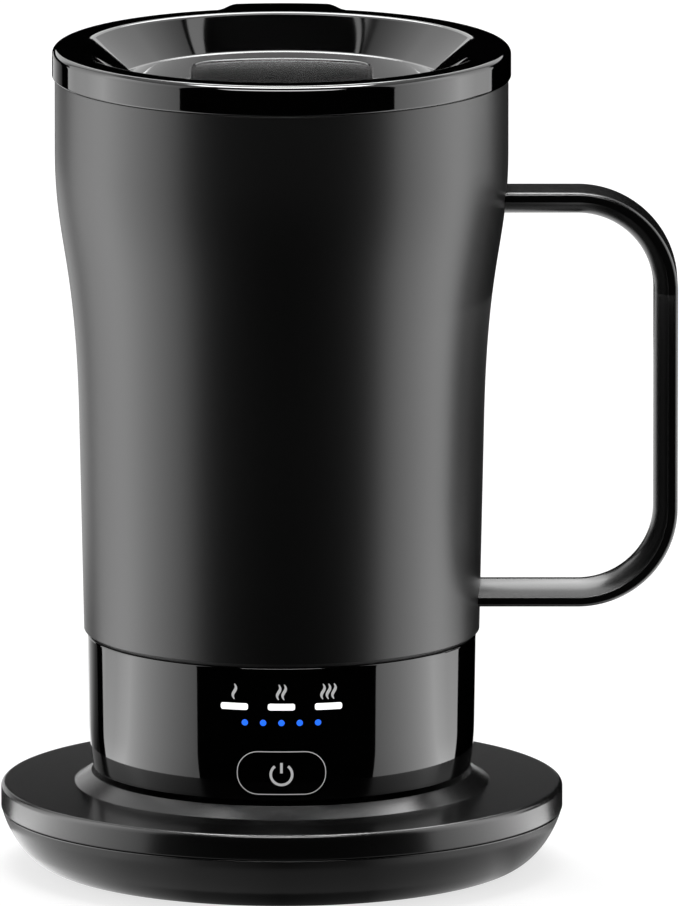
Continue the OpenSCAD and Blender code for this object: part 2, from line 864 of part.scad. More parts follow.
module base_chassis() color("#242424") on_coaster() {
  spigot_r = lip_in_r - snug;
  rail_x = display_half_w - rail_grip;
  rail_y = -display_y - rail_w;
  difference() {
    union() {
      lathe([
        [0, chassis_z], [base_in_r - snug, chassis_z], [base_in_r - snug, base_top],
        [groove_r, base_top], [groove_r, shell_z],
        [spigot_r, shell_z], [spigot_r, shell_z + spigot_h],
        [spigot_r - spigot_w, shell_z + spigot_h], [spigot_r - spigot_w, shell_z],
        [0, shell_z]
      ]);
      at_base_screws() translate([0, 0, cover_top]) cylinder(r = post_r, h = chassis_z - cover_top + past);
      for (side = [0, 1])
        mirror([side, 0, 0])
          translate([rail_x, rail_y, rail_low_z])
            cube([rail_w + rail_grip, display_t + 2 * rail_w, chassis_z - rail_low_z + past]);
    }
    at_base_screws()
      translate([0, 0, cover_top - past]) cylinder(r = base_screw_r + snug, h = base_screw_l + past);
    translate([-display_half_w - snug, -display_y - snug, rail_low_z - past])
      cube([2 * (display_half_w + snug), display_t + 2 * snug, chassis_z - rail_low_z + past]);
    for (x = [-lead_x, lead_x])
      translate([x, 0, chassis_z - past]) cylinder(r = lead_r + clear, h = chassis_t + 2 * past);
  }
}

// Mug body

function wall_line(z) = foot_r + (z - shell_z) * taper;

// The body's outer surface above the waist, moved inwards by an inset and ending at a height
function wall_run(inset, end_z) =
  let (curve = bezier_run([
    [waist_r, waist_z],
    [waist_r + waist_pull * taper, waist_z + waist_pull],
    [body_r, collar_z - shoulder_pull],
    [body_r, collar_z]
  ], body_steps))
  [for (p = concat(curve, [[body_r, end_z]])) [p[0] - inset, p[1]]];

module body_solid() {
  lathe(concat([[0, shell_z], [foot_r, shell_z]], wall_run(0, rim_z), [[0, rim_z]]));
}

module heat_shield() color("#d8d2c4") on_coaster() {
  difference() {
    translate([0, 0, shell_z]) cylinder(r = lip_in_r - spigot_w - clear, h = shield_t);
    for (x = [-lead_x, lead_x])
      translate([x, 0, shell_z - past]) cylinder(r = lead_r + clear, h = shield_t + 2 * past);
  }
}

module heater_leads() color("#b3322a") on_coaster() {
  for (x = [-lead_x, lead_x])
    translate([x, 0, control_top]) cylinder(r = lead_r, h = heater_z - control_top);
}

module heating_element() color("#b87333") on_coaster() {
  difference() {
    translate([0, 0, heater_z]) cylinder(r = heater_r, h = heater_t);
    translate([0, 0, heater_z - past]) cylinder(r = sensor_r + clear, h = heater_t + 2 * past);
  }
}

module temperature_sensor() color("#e8e4d8") on_coaster() {
  translate([0, 0, heater_z]) cylinder(r = sensor_r, h = heater_t);
}

module outer_shell() color("#232323") on_coaster() {
  lathe(concat(
    [[lip_in_r, shell_z], [foot_r, shell_z]],
    wall_run(0, flange_z),
    backwards(wall_run(shell_t, flange_z)),
    [[wall_line(shell_z + shell_t) - shell_t, shell_z + shell_t], [lip_in_r, shell_z + shell_t]]
  ));
}

module liner() color("#c9c9c6") on_coaster() {
  floor_top = liner_z + liner_t;
  corner_z = floor_top + liner_corner;
  corner_r = wall_line(corner_z) - liner_in - liner_corner;
  corner = [corner_r, corner_z];
  lathe(concat(
    [[0, liner_z]],
    arc_run(corner, liner_corner + liner_t, -90, 0, corner_steps),
    wall_run(liner_out, flange_z),
    [[body_r, flange_z], [body_r, rim_z]],
    backwards(wall_run(liner_in, rim_z)),
    backwards(arc_run(corner, liner_corner, -90, 0, corner_steps)),
    [[0, floor_top]]
  ));
}

// Cross-section of the strap: x runs out from the rounded grip side, y across its width
module strap_section() {
  half = handle_w / 2;
  rise = handle_t - handle_side;
  grip_r = (half * half + rise * rise) / (2 * rise);
  turn = asin(half / grip_r);
  polygon(concat(
    arc_run([handle_bend - handle_edge_out, handle_edge_out - half], handle_edge_out, -90, 0, corner_steps),
    arc_run([handle_bend - handle_edge_out, half - handle_edge_out], handle_edge_out, 0, 90, corner_steps),
    arc_run([handle_bend - handle_t + grip_r, 0], grip_r, 180 - turn, 180 + turn, 2 * corner_steps)
  ));
}

// One arm and its bend, leaving the body at the top
module strap_arm() {
  rotate([90, 0, 0]) rotate_extrude(angle = 90) strap_section();
  rotate([0, -90, 0]) linear_extrude(handle_arm_l) strap_section();
}

module handle() color("#262626") on_coaster() {
  difference() {
    union() {
      translate([handle_mid_x, 0, handle_high_z]) strap_arm();
      translate([handle_mid_x, 0, handle_low_z]) mirror([0, 0, 1]) strap_arm();
      translate([handle_mid_x, 0, handle_low_z]) linear_extrude(handle_high_z - handle_low_z) strap_section();
    }
    body_solid();
  }
}

// Power button

module power_button() color("#101010") on_coaster() {
  union() {
    intersection() {
      through_front(button_back_y, button_z) button_shape(0);
      base_solid();
    }
    translate([-ear_x, -ear_y, button_z - ear_h / 2]) cube([2 * ear_x, ear_t, ear_h]);
  }
}

module button_stem() color("#d0d0d0") on_coaster() {
  translate([0, stem_l - button_back_y, button_z]) rotate([90, 0, 0]) cylinder(r = stem_r, h = stem_l);
}

// Lid

function smooth(t) = let (u = min(1, max(0, t))) u * u * (3 - 2 * u);

// Plan of the lift tab: it swells from the lid's edge at its root to its full reach at its tip
function tab_outline() =
  let (tip = asin(tab_tip_w / 2 / (lid_r + tab_reach)))
  let (root = asin(tab_root_w / 2 / lid_r))
  let (steps = 4 * corner_steps)
  let (start_r = lid_r - tab_start)
  [
    for (i = [-steps:steps])
      let (a = root * i / steps)
      let (r = start_r + (lid_r + tab_reach - start_r) * smooth((root - abs(a)) / (root - tip)))
      [r * sin(a), r * cos(a)]
  ];

module lid_shell() color("#0a0a0a") on_coaster() {
  slope = lid_depth / lid_slope_w;
  lean = atan(slope);
  rim_side = lid_rim_round * tan(lean / 2);
  floor_side = lid_floor_round * tan(lean / 2);
  under_r = lid_floor_r + lid_wall / 2;
  plug_top_z = lid_under_z + (plug_in_r - under_r) * slope;
  channel_wall = 1.2;
  channel_in = plug_r + channel_wall;
  channel_out = lid_r - lid_wall;
  channel_z = min(lid_top - lid_wall, lid_top - (lid_in_r - channel_in + lid_wall) * slope);
  edge = lid_edge_round;
  root_x = tab_root_w / 2 - tab_sink / 2;
  difference() {
    union() {
      lathe(concat(
        [
          [0, lid_under_z], [under_r, lid_under_z],
          [plug_in_r, plug_top_z], [plug_in_r, plug_z], [plug_r, plug_z],
          [plug_r, gasket_z], [plug_r - groove_depth, gasket_z],
          [plug_r - groove_depth, gasket_z + gasket_h], [plug_r, gasket_z + gasket_h],
          [plug_r, lid_z], [channel_in, lid_z], [channel_in, channel_z],
          [channel_out, channel_z], [channel_out, lid_z], [lid_r, lid_z]
        ],
        arc_run([lid_r - edge, lid_top - edge], edge, 0, 90, corner_steps),
        arc_run(
          [lid_in_r + rim_side, lid_top - lid_rim_round], lid_rim_round, 90, 90 + lean, corner_steps
        ),
        arc_run(
          [lid_floor_r - floor_side, lid_floor_z + lid_floor_round],
          lid_floor_round, lean - 90, -90, corner_steps
        ),
        [[0, lid_floor_z]]
      ));
      translate([0, 0, lid_top - tab_t])
        linear_extrude(tab_t)
          polygon(concat(tab_outline(), [[root_x, lid_in_r + tab_sink], [-root_x, lid_in_r + tab_sink]]));
    }
    translate([0, drink_y, lid_under_z - past])
      linear_extrude(lid_wall + 2 * past) polygon(pill(drink_w, drink_l, drink_l / 2 - pill_flat));
    translate([-keel_w / 2 - clear, keel_y - keel_l / 2 - keel_slot_end, lid_under_z - past])
      cube([keel_w + 2 * clear, keel_l + slider_travel + 2 * keel_slot_end, lid_wall + 2 * past]);
  }
}

module lid_gasket() color("#8d8d8d") on_coaster() {
  in_r = plug_r - groove_depth + snug;
  low = gasket_z + snug;
  high = gasket_z + gasket_h - snug;
  mid = (low + high) / 2;
  lathe([
    [in_r, low], [plug_r, low], [gasket_r, (low + mid) / 2], [plug_r, mid],
    [gasket_r, (mid + high) / 2], [plug_r, high], [in_r, high]
  ]);
}

// Plan of the slider: rounded corners and a bowed back edge
function slider_outline() =
  let (c = slider_corner)
  let (side = slider_w / 2 - c)
  let (bow_y = slider_back - slider_bow_r)
  let (reach = sqrt(pow(slider_bow_r - c, 2) - side * side))
  let (turn = atan2(reach, side))
  concat(
    arc_run([side, slider_front + c], c, -90, 0, corner_steps),
    arc_run([side, bow_y + reach], c, 0, turn, corner_steps),
    arc_run([0, bow_y], slider_bow_r, turn, 180 - turn, 2 * corner_steps),
    arc_run([-side, bow_y + reach], c, 180 - turn, 180, corner_steps),
    arc_run([-side, slider_front + c], c, 180, 270, corner_steps)
  );

function ellipse(w, l, steps) =
  [for (i = [0:steps - 1]) let (a = 360 * i / steps) [w / 2 * cos(a), l / 2 * sin(a)]];

module seal_shape(grow) {
  w = drink_w + 2 * seal_margin + 2 * grow;
  l = drink_l + 2 * seal_margin + 2 * grow;
  polygon(pill(w, l, drink_l / 2));
}

module lid_slider() color("#141414") on_coaster() {
  keel_low = lid_under_z - retainer_gap - retainer_t;
  difference() {
    union() {
      translate([0, 0, slider_z]) linear_extrude(slider_t) polygon(slider_outline());
      translate([0, thumb_y, slider_z])
        linear_extrude(slider_t + thumb_h) polygon(ellipse(thumb_w, thumb_l, 8 * corner_steps));
      translate([-keel_w / 2, keel_y - keel_l / 2, keel_low])
        cube([keel_w, keel_l, slider_z - keel_low + slider_t / 2]);
    }
    translate([0, drink_y, slider_z - past]) linear_extrude(seal_t + past + snug) seal_shape(snug);
  }
}

module slider_seal() color("#9a9a9a") on_coaster() {
  low = lid_floor_z + seal_gap;
  translate([0, drink_y, low]) linear_extrude(slider_z + seal_t - low) seal_shape(0);
}

module slider_retainer() color("#3a3a3a") on_coaster() {
  top = lid_under_z - retainer_gap;
  w = keel_w + 2 * retainer_side;
  l = keel_l + 2 * retainer_side;
  difference() {
    translate([-w / 2, keel_y - l / 2, top - retainer_t]) cube([w, l, retainer_t]);
    translate([-keel_w / 2 - snug, keel_y - keel_l / 2 - snug, top - retainer_t - past])
      cube([keel_w + 2 * snug, keel_l + 2 * snug, retainer_t + 2 * past]);
  }
}

coaster_base();
coaster_top();
coaster_pad();
coaster_board();
coaster_screws();
contact_barrels();
power_inlet();
contact_pin_left();
contact_pin_centre();
contact_pin_right();
bottom_cover();
foot_ring();
contact_disc();
contact_ring();
contact_studs();
base_screws();
base_housing();
control_board();
board_components();
board_connector();
battery_cradle();
battery_cells();
display_board();
indicator_leds();
light_mask();
level_bars();
charge_dots();
tact_switch();
base_chassis();
heat_shield();
heater_leads();
heating_element();
temperature_sensor();
outer_shell();
liner();
handle();
power_button();
button_stem();
lid_shell();
lid_gasket();
lid_slider();
slider_seal();
slider_retainer();
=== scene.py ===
# Self-heating mug with its lid, standing on a charging coaster: shapes, finishes, light and camera.
import json
import math

import bmesh
import bpy
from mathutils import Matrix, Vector


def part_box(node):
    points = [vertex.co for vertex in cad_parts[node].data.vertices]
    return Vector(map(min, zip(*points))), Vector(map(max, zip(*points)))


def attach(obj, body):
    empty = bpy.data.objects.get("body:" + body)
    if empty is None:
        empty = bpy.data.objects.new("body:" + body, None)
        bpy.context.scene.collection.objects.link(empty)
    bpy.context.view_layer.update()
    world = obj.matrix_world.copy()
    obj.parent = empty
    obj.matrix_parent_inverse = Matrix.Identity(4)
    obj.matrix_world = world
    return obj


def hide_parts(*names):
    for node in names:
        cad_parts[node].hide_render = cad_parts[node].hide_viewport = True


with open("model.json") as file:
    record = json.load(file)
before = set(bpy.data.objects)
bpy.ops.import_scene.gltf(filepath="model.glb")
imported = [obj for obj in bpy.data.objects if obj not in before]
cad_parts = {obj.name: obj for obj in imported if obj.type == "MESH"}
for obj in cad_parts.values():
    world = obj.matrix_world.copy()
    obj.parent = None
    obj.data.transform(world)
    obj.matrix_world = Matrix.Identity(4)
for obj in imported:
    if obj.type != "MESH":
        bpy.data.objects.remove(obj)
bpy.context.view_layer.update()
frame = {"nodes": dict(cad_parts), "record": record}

MM = 0.001
slot_of = {part["node"]: part["material_slot"] for part in frame["record"]["subparts"]}
body_of = {
    node: body for body, nodes in frame["record"]["behaviour"]["bodies"].items() for node in nodes
}


def low(node, axis):
    """Lowest coordinate of a CAD node along an axis, in millimetres."""
    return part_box(node)[0]["xyz".index(axis)] / MM


def high(node, axis):
    """Highest coordinate of a CAD node along an axis, in millimetres."""
    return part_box(node)[1]["xyz".index(axis)] / MM


def middle(node, axis):
    return (low(node, axis) + high(node, axis)) / 2


# Sizes in millimetres. Heights are over the table, and places come from the frame where it has them.

# Coaster
coaster_r = high("coaster_top", "x")
coaster_wall = 1.8
coaster_edge_h = 5
coaster_edge_round = 1
coaster_seam_round = 0.25
coaster_seam_gap = 0.16
coaster_step = 0.15
coaster_lip_h = 2
coaster_lip_t = 1.2
coaster_floor_t = 1.8
bowl_low = low("coaster_base", "z")
bowl_draw = 10.3
bowl_lean = math.radians(15)
bowl_seam_ease = 4.7
bowl_flat_ease = 5
seam_z = high("coaster_base", "z") - coaster_lip_h
cover_z = seam_z + coaster_edge_h
mug_z = high("coaster_top", "z")
pad_r = high("coaster_pad", "x")
pad_top = high("coaster_pad", "z")
pad_edge_round = 0.3
pad_pocket_round = 0.2
pedestal_inset = 0.75
pedestal_slope_w = 3.3
pedestal_round = 0.25
pedestal_foot_round = 0.5
coaster_snug = 0.05
pin_hole_r = 1.3
pin_hole_depth = 4
pin_rim_w = 0.3
inlet_w = 2 * high("power_inlet", "x")
inlet_h = high("power_inlet", "z") - low("power_inlet", "z")
inlet_l = high("power_inlet", "y") - low("power_inlet", "y")
inlet_snug = 0.05
inlet_hole_depth = 9
inlet_lead_in = 0.6
inlet_lead_out = 4
inlet_lead_w = 0.7
inlet_wall = 0.3
inlet_lip = 0.1
inlet_back_t = 1
tongue_side = 2.3
tongue_t = 0.7
tongue_corner = 0.15
tongue_root = 0.5
tongue_in = 0.6
tongue_edge_w = 0.12
tongue_edge_l = 0.1

# Glossy base of the mug
base_r = high("base_housing", "x")
base_low = low("base_housing", "z")
base_top = high("base_housing", "z")
base_wall = 2.4
base_taper = 0.4
base_tuck = 0.65
base_tuck_h = 8.6
base_edge_round = 0.4
base_foot_round = 0.25
ledge_w = 1.5
ledge_h = 0.8
cover_lap = 1.2
ledge_z = high("bottom_cover", "z") - cover_lap
light_proud = 0.03
light_depth = 4.6
light_edge = 0.04
light_face_in = 0.3
button_w = 17.2
button_depth = 9
button_gap = 0.4
button_edge_round = 0.3
button_corner = 4.1
button_back_y = high("power_button", "y")
# Inset and width of the painted highlight line along the button's edge
painted_highlight_in = 0.14
painted_highlight_w = 0.15
bar_w = 5.2
bar_corner = 0.45
wisp_pitch = 1.05
wisp_rise = 2.9
foot_band_round = 0.3

# Body
shell_low = low("outer_shell", "z")
shell_top = high("outer_shell", "z")
body_r = high("outer_shell", "x")
shell_t = 1
shell_lip_w = 2.5
body_overhang = 0.65
foot_r = base_r + body_overhang
foot_round = 0.2
waist_r = 38.9
waist_z = shell_low + 41.3
waist_ease = 32
shoulder_ease = 18
rim_z = high("liner", "z")
collar_z = rim_z - 14.3
wall_taper = (waist_r - foot_r) / (waist_z - shell_low)
liner_low = low("liner", "z")
liner_t = 1
liner_out = 3.2
liner_in = liner_out + liner_t
liner_corner = 8
flange_snug = 0.02
rim_round = 0.35

# Handle
handle_x = high("handle", "x")
handle_low = low("handle", "z")
handle_high = high("handle", "z")
handle_w = 2 * high("handle", "y")
handle_t = 4.7
handle_bend = 19.2
handle_edge = 0.7
handle_side = 1.8
handle_crease = 0.3
handle_sink = 0.55

# Lid
lid_r = -low("lid_shell", "x")
lid_top = high("lid_shell", "z")
plug_low = low("lid_shell", "z")
lid_edge_round = 1.3
lid_inner_round = 2.2
lid_floor_round = 1.2
lid_foot_round = 0.4
lid_rim_w = 5.4
lid_slope_w = 8
lid_depth = 6.3
lid_wall = 2
lid_under_round = 0.6
plug_clear = 0.7
plug_r = body_r - liner_in - plug_clear
plug_wall = 2.4
plug_inner_round = 0.4
plug_edge_round = 0.5
channel_wall = 1.2
groove_depth = 1.2
groove_clear = 0.05
gasket_low = low("lid_gasket", "z")
gasket_high = high("lid_gasket", "z")
gasket_r = high("lid_gasket", "x")
gasket_lip_round = 0.2
gasket_valley_round = 0.15
tab_reach = 5.6
tab_tip_w = 17.5
tab_root_w = 26
tab_t = 3.5
tab_drop = 0.02
tab_root_in = 1.7
tab_root_side = 1
tab_weld = 0.2
tab_edge_round = 0.9

# Slider
slider_w = 2 * high("lid_slider", "x")
slider_front = low("lid_slider", "y")
slider_back = high("lid_slider", "y")
slider_clear = 0.15
slider_low = lid_top - lid_depth + slider_clear
slider_t = 1.05
slider_edge = 0.1
slider_corner = 7
slider_bow_r = 35
slider_bead = 0.45
slider_bead_h = 0.3
thumb_w = 24
thumb_l = 14.2
thumb_inset = 1.2
thumb_y = slider_front + thumb_inset + thumb_l / 2
thumb_round = 0.45
thumb_root = 0.2
drink_w = 16
drink_l = 7
drink_inset = 1
drink_y = slider_front + drink_inset + drink_l / 2
keel_w = 8
keel_l = 9
keel_y = (slider_front + slider_back) / 2
keel_edge = 0.2
keel_root = 0.4
slot_clear = 0.3
slot_corner = 0.5
slot_travel = 10

# How far cutting tools reach past what they cut, and how finely round things are drawn
cut_past = 1
cut_over = 0.05
merge_gap = 0.0002
ring_start = 0.37
end_flat = 0.05
round_turns = 288
fine_turns = 384
small_turns = 48
cap_step = 0.8
fine_step = 0.6


# Outlines

def arc(centre, radius, start, end, steps=8):
    """Points along an arc, from one angle to another in degrees."""
    angles = [math.radians(start + (end - start) * k / steps) for k in range(steps + 1)]
    return [(centre[0] + radius * math.cos(a), centre[1] + radius * math.sin(a)) for a in angles]


def bezier(p, steps):
    """Points along a cubic curve with four control points."""
    points = []
    for k in range(steps + 1):
        t = k / steps
        weights = ((1 - t) ** 3, 3 * t * (1 - t) ** 2, 3 * t * t * (1 - t), t ** 3)
        points.append(tuple(sum(w * q[i] for w, q in zip(weights, p)) for i in (0, 1)))
    return points


def soften(corners, steps=6):
    """A closed outline from corners (x, y) or (x, y, radius), with the given corners rounded."""
    points = []
    for i, corner in enumerate(corners):
        here = Vector(corner[:2])
        if len(corner) == 2:
            points.append(tuple(here))
            continue
        radius = corner[2]
        back = (Vector(corners[i - 1][:2]) - here).normalized()
        ahead = (Vector(corners[(i + 1) % len(corners)][:2]) - here).normalized()
        half = back.angle(ahead) / 2
        centre = here + (back + ahead).normalized() * radius / math.sin(half)
        first = here + back * radius / math.tan(half) - centre
        last = here + ahead * radius / math.tan(half) - centre
        start = math.degrees(math.atan2(first.y, first.x))
        turn = (math.degrees(math.atan2(last.y, last.x)) - start + 180) % 360 - 180
        points += arc(centre, radius, start, start + turn, steps)
    return points


def refine(outline, step):
    """Splits the long edges of a closed outline into parts of about one step."""
    points = []
    for here, there in zip(outline, outline[1:] + outline[:1]):
        parts = max(1, round(math.dist(here, there) / step))
        points += [tuple(Vector(here).lerp(Vector(there), k / parts)) for k in range(parts)]
    return points


def pill(w, h, corner, steps=8):
    """A rectangle with rounded corners, centred on the origin."""
    x, y = w / 2, h / 2
    return soften([(x, -y, corner), (x, y, corner), (-x, y, corner), (-x, -y, corner)], steps)


def capsule(w, h):
    """A rectangle whose ends are all but round."""
    return pill(w, h, h / 2 - end_flat)


def eased(radius, steps=5):
    """Insets and depths along a rounded edge, from the side to the face."""
    angles = [math.pi / 2 * k / steps for k in range(steps + 1)]
    return [(radius * (1 - math.cos(a)), radius * (1 - math.sin(a))) for a in angles]


def step_in(outline, inset):
    """A closed outline moved inwards by an inset."""
    area = sum(a[0] * b[1] - b[0] * a[1] for a, b in zip(outline, outline[1:] + outline[:1]))
    side = math.copysign(1, area)
    points = []
    for i, here in enumerate(outline):
        last, ahead = Vector(outline[i - 1]), Vector(outline[(i + 1) % len(outline)])
        first = (Vector(here) - last).normalized().orthogonal() * side
        second = (ahead - Vector(here)).normalized().orthogonal() * side
        points.append(tuple(Vector(here) + (first + second) * inset / (1 + first.dot(second))))
    return points


# Solids, from sizes in millimetres

def added(name, data):
    """A new object in the scene."""
    thing = bpy.data.objects.new(name, data)
    bpy.context.scene.collection.objects.link(thing)
    return thing


def solid(name, points, faces):
    """A closed mesh object from points and faces, its normals outwards."""
    mesh = bpy.data.meshes.new(name)
    mesh.from_pydata([Vector(p) * MM for p in points], [], faces)
    work = bmesh.new()
    work.from_mesh(mesh)
    bmesh.ops.remove_doubles(work, verts=work.verts, dist=merge_gap * MM)
    bmesh.ops.recalc_face_normals(work, faces=work.faces)
    work.to_mesh(mesh)
    work.free()
    return added(name, mesh)


def bridged(rings, loop=False):
    """Faces that join rings of point numbers one to the next."""
    faces = []
    for one, two in zip(rings, rings[1:] + (rings[:1] if loop else [])):
        for k in range(len(one)):
            j = (k + 1) % len(one)
            face = list(dict.fromkeys((one[k], one[j], two[j], two[k])))
            if len(face) > 2:
                faces.append(face)
    return faces


def lathe(name, outline, turns=round_turns, at=(0, 0)):
    """Turns a closed outline of (radius, height) points round an upright axis."""
    points, rings = [], []
    for r, z in outline:
        count = turns if r > merge_gap else 1
        ring = [len(points) + k % count for k in range(turns)]
        for k in range(count):
            a = 2 * math.pi * (k + ring_start) / turns
            points.append((at[0] + r * math.cos(a), at[1] + r * math.sin(a), z))
        rings.append(ring)
    return solid(name, points, bridged(rings, loop=True))


def level(x, y, height):
    return x, y, height


def plate(name, outline, layers, place=level):
    """Stacks an outline: each layer is (inset, height), and the first and last are closed."""
    points, rings = [], []
    for inset, height in layers:
        ring = step_in(outline, inset)
        rings.append(list(range(len(points), len(points) + len(ring))))
        points += [place(x, y, height) for x, y in ring]
    return solid(name, points, [rings[0], rings[-1], *bridged(rings)])


def pad(name, outline, spine, layers, place):
    """A cap whose outline steps in to a spine along x, by (inset, depth) layers from its back on."""
    points, rings = [], []
    for inset, depth in layers:
        rings.append(list(range(len(points), len(points) + len(outline))))
        for x, y in outline:
            here, home = Vector((x, y)), Vector((max(-spine, min(spine, x)), 0))
            there = here.lerp(home, min(1, inset / (home - here).length))
            points.append(place(there.x, there.y, depth))
    return solid(name, points, [rings[0], *bridged(rings)])


def sweep(name, section, stations):
    """Carries a section of (out, across) points along stations of (centre, direction) in the XZ plane."""
    points, rings = [], []
    for centre, direction in stations:
        rings.append(list(range(len(points), len(points) + len(section))))
        for out, across in section:
            points.append((centre[0] + direction[0] * out, across, centre[1] + direction[1] * out))
    return solid(name, points, [rings[0], rings[-1], *bridged(rings)])


def ribbon(name, path, halves, place, lift=0.02, sink=0.05):
    """A thin printed stroke along a path of (x, y) points with half widths, laid on a surface."""
    points, rings = [], []
    for k, (half, (x, y)) in enumerate(zip(halves, path)):
        back, ahead = path[max(0, k - 1)], path[min(len(path) - 1, k + 1)]
        heading = math.atan2(ahead[1] - back[1], ahead[0] - back[0])
        dx, dy = half * math.sin(heading), -half * math.cos(heading)
        rings.append(list(range(len(points), len(points) + 4)))
        points += [place(x - dx, y - dy, -lift), place(x + dx, y + dy, -lift)]
        points += [place(x + dx, y + dy, sink), place(x - dx, y - dy, sink)]
    return solid(name, points, [rings[0], rings[-1], *bridged(rings)])


def settle(piece):
    """Turns a piece's modifiers into its mesh."""
    graph = bpy.context.evaluated_depsgraph_get()
    mesh = bpy.data.meshes.new_from_object(piece.evaluated_get(graph))
    piece.modifiers.clear()
    piece.data = mesh


def combine(piece, tools, operation):
    """Cuts tools out of a piece, or welds them to it."""
    for tool in tools:
        step = piece.modifiers.new(operation.lower(), "BOOLEAN")
        step.operation = operation
        step.solver = "EXACT"
        step.object = tool
        settle(piece)
        bpy.data.objects.remove(tool)
    return piece


def cut(piece, *tools):
    return combine(piece, tools, "DIFFERENCE")


def weld(piece, *tools):
    return combine(piece, tools, "UNION")


def shade(piece, crease=35):
    """Smooth shading that keeps creases, with flat faces kept flat beside small rounded edges."""
    piece.data.shade_smooth()
    piece.data.set_sharp_from_angle(angle=math.radians(crease))
    weights = piece.modifiers.new("flat_faces", "WEIGHTED_NORMAL")
    weights.keep_sharp = True


def dress(piece, material):
    piece.data.materials.clear()
    piece.data.materials.append(material)


def stand_in(piece, node, material=None):
    """Finishes a piece and puts it in a CAD node's place, on that node's body."""
    shade(piece)
    dress(piece, material or finish[slot_of[node]])
    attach(piece, body_of[node])
    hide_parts(node)


def printed(piece, body):
    """Finishes a printed mark in the ink with its painted glow, and lets it ride on a body."""
    shade(piece)
    dress(piece, glowing_printed_ink)
    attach(piece, body)


# Materials

def colour(code):
    """Linear colour of an sRGB hex value."""
    parts = [int(code[i:i + 2], 16) / 255 for i in (1, 3, 5)]
    return (*[p / 12.92 if p <= 0.04045 else ((p + 0.055) / 1.055) ** 2.4 for p in parts], 1)


def add(tree, kind, sockets=None, **settings):
    """Adds a node: settings are its own values, and a socket's value is a number, a colour or an output."""
    node = tree.nodes.new(kind)
    for name, value in settings.items():
        setattr(node, name, value)
    for name, value in (sockets or {}).items():
        if isinstance(value, bpy.types.NodeSocket):
            tree.links.new(value, node.inputs[name])
        else:
            node.inputs[name].default_value = value
    return node


def blank_material(name):
    """A material without nodes, and its tree."""
    material = bpy.data.materials.new(name)
    material.use_nodes = True
    material.node_tree.nodes.clear()
    return material, material.node_tree


def grained(name, tones, rough, grain, relief, sockets, stretch=(1, 1, 1)):
    """A surface whose tone, roughness and relief share a cloudy grain. Grain and relief are millimetres."""
    material, tree = blank_material(name)
    place = add(tree, "ShaderNodeTexCoord")
    drawn = add(tree, "ShaderNodeMapping", {"Vector": place.outputs["Object"], "Scale": stretch})
    noise = add(tree, "ShaderNodeTexNoise", {
        "Vector": drawn.outputs["Vector"], "Scale": 1 / (grain * MM), "Detail": 3, "Roughness": 0.55,
    })
    fac = noise.outputs["Fac"]
    tone = add(tree, "ShaderNodeMix", {
        "Factor": fac, "A": colour(tones[0]), "B": colour(tones[1]),
    }, data_type="RGBA")
    gloss = add(tree, "ShaderNodeMapRange", {"Value": fac, "To Min": rough[0], "To Max": rough[1]})
    bump = add(tree, "ShaderNodeBump", {"Height": fac, "Distance": relief * MM, "Strength": 1})
    shader = add(tree, "ShaderNodeBsdfPrincipled", {
        "Base Color": tone.outputs["Result"], "Roughness": gloss.outputs[0], "Normal": bump.outputs[0],
        **sockets,
    })
    add(tree, "ShaderNodeOutputMaterial", {"Surface": shader.outputs[0]})
    return material


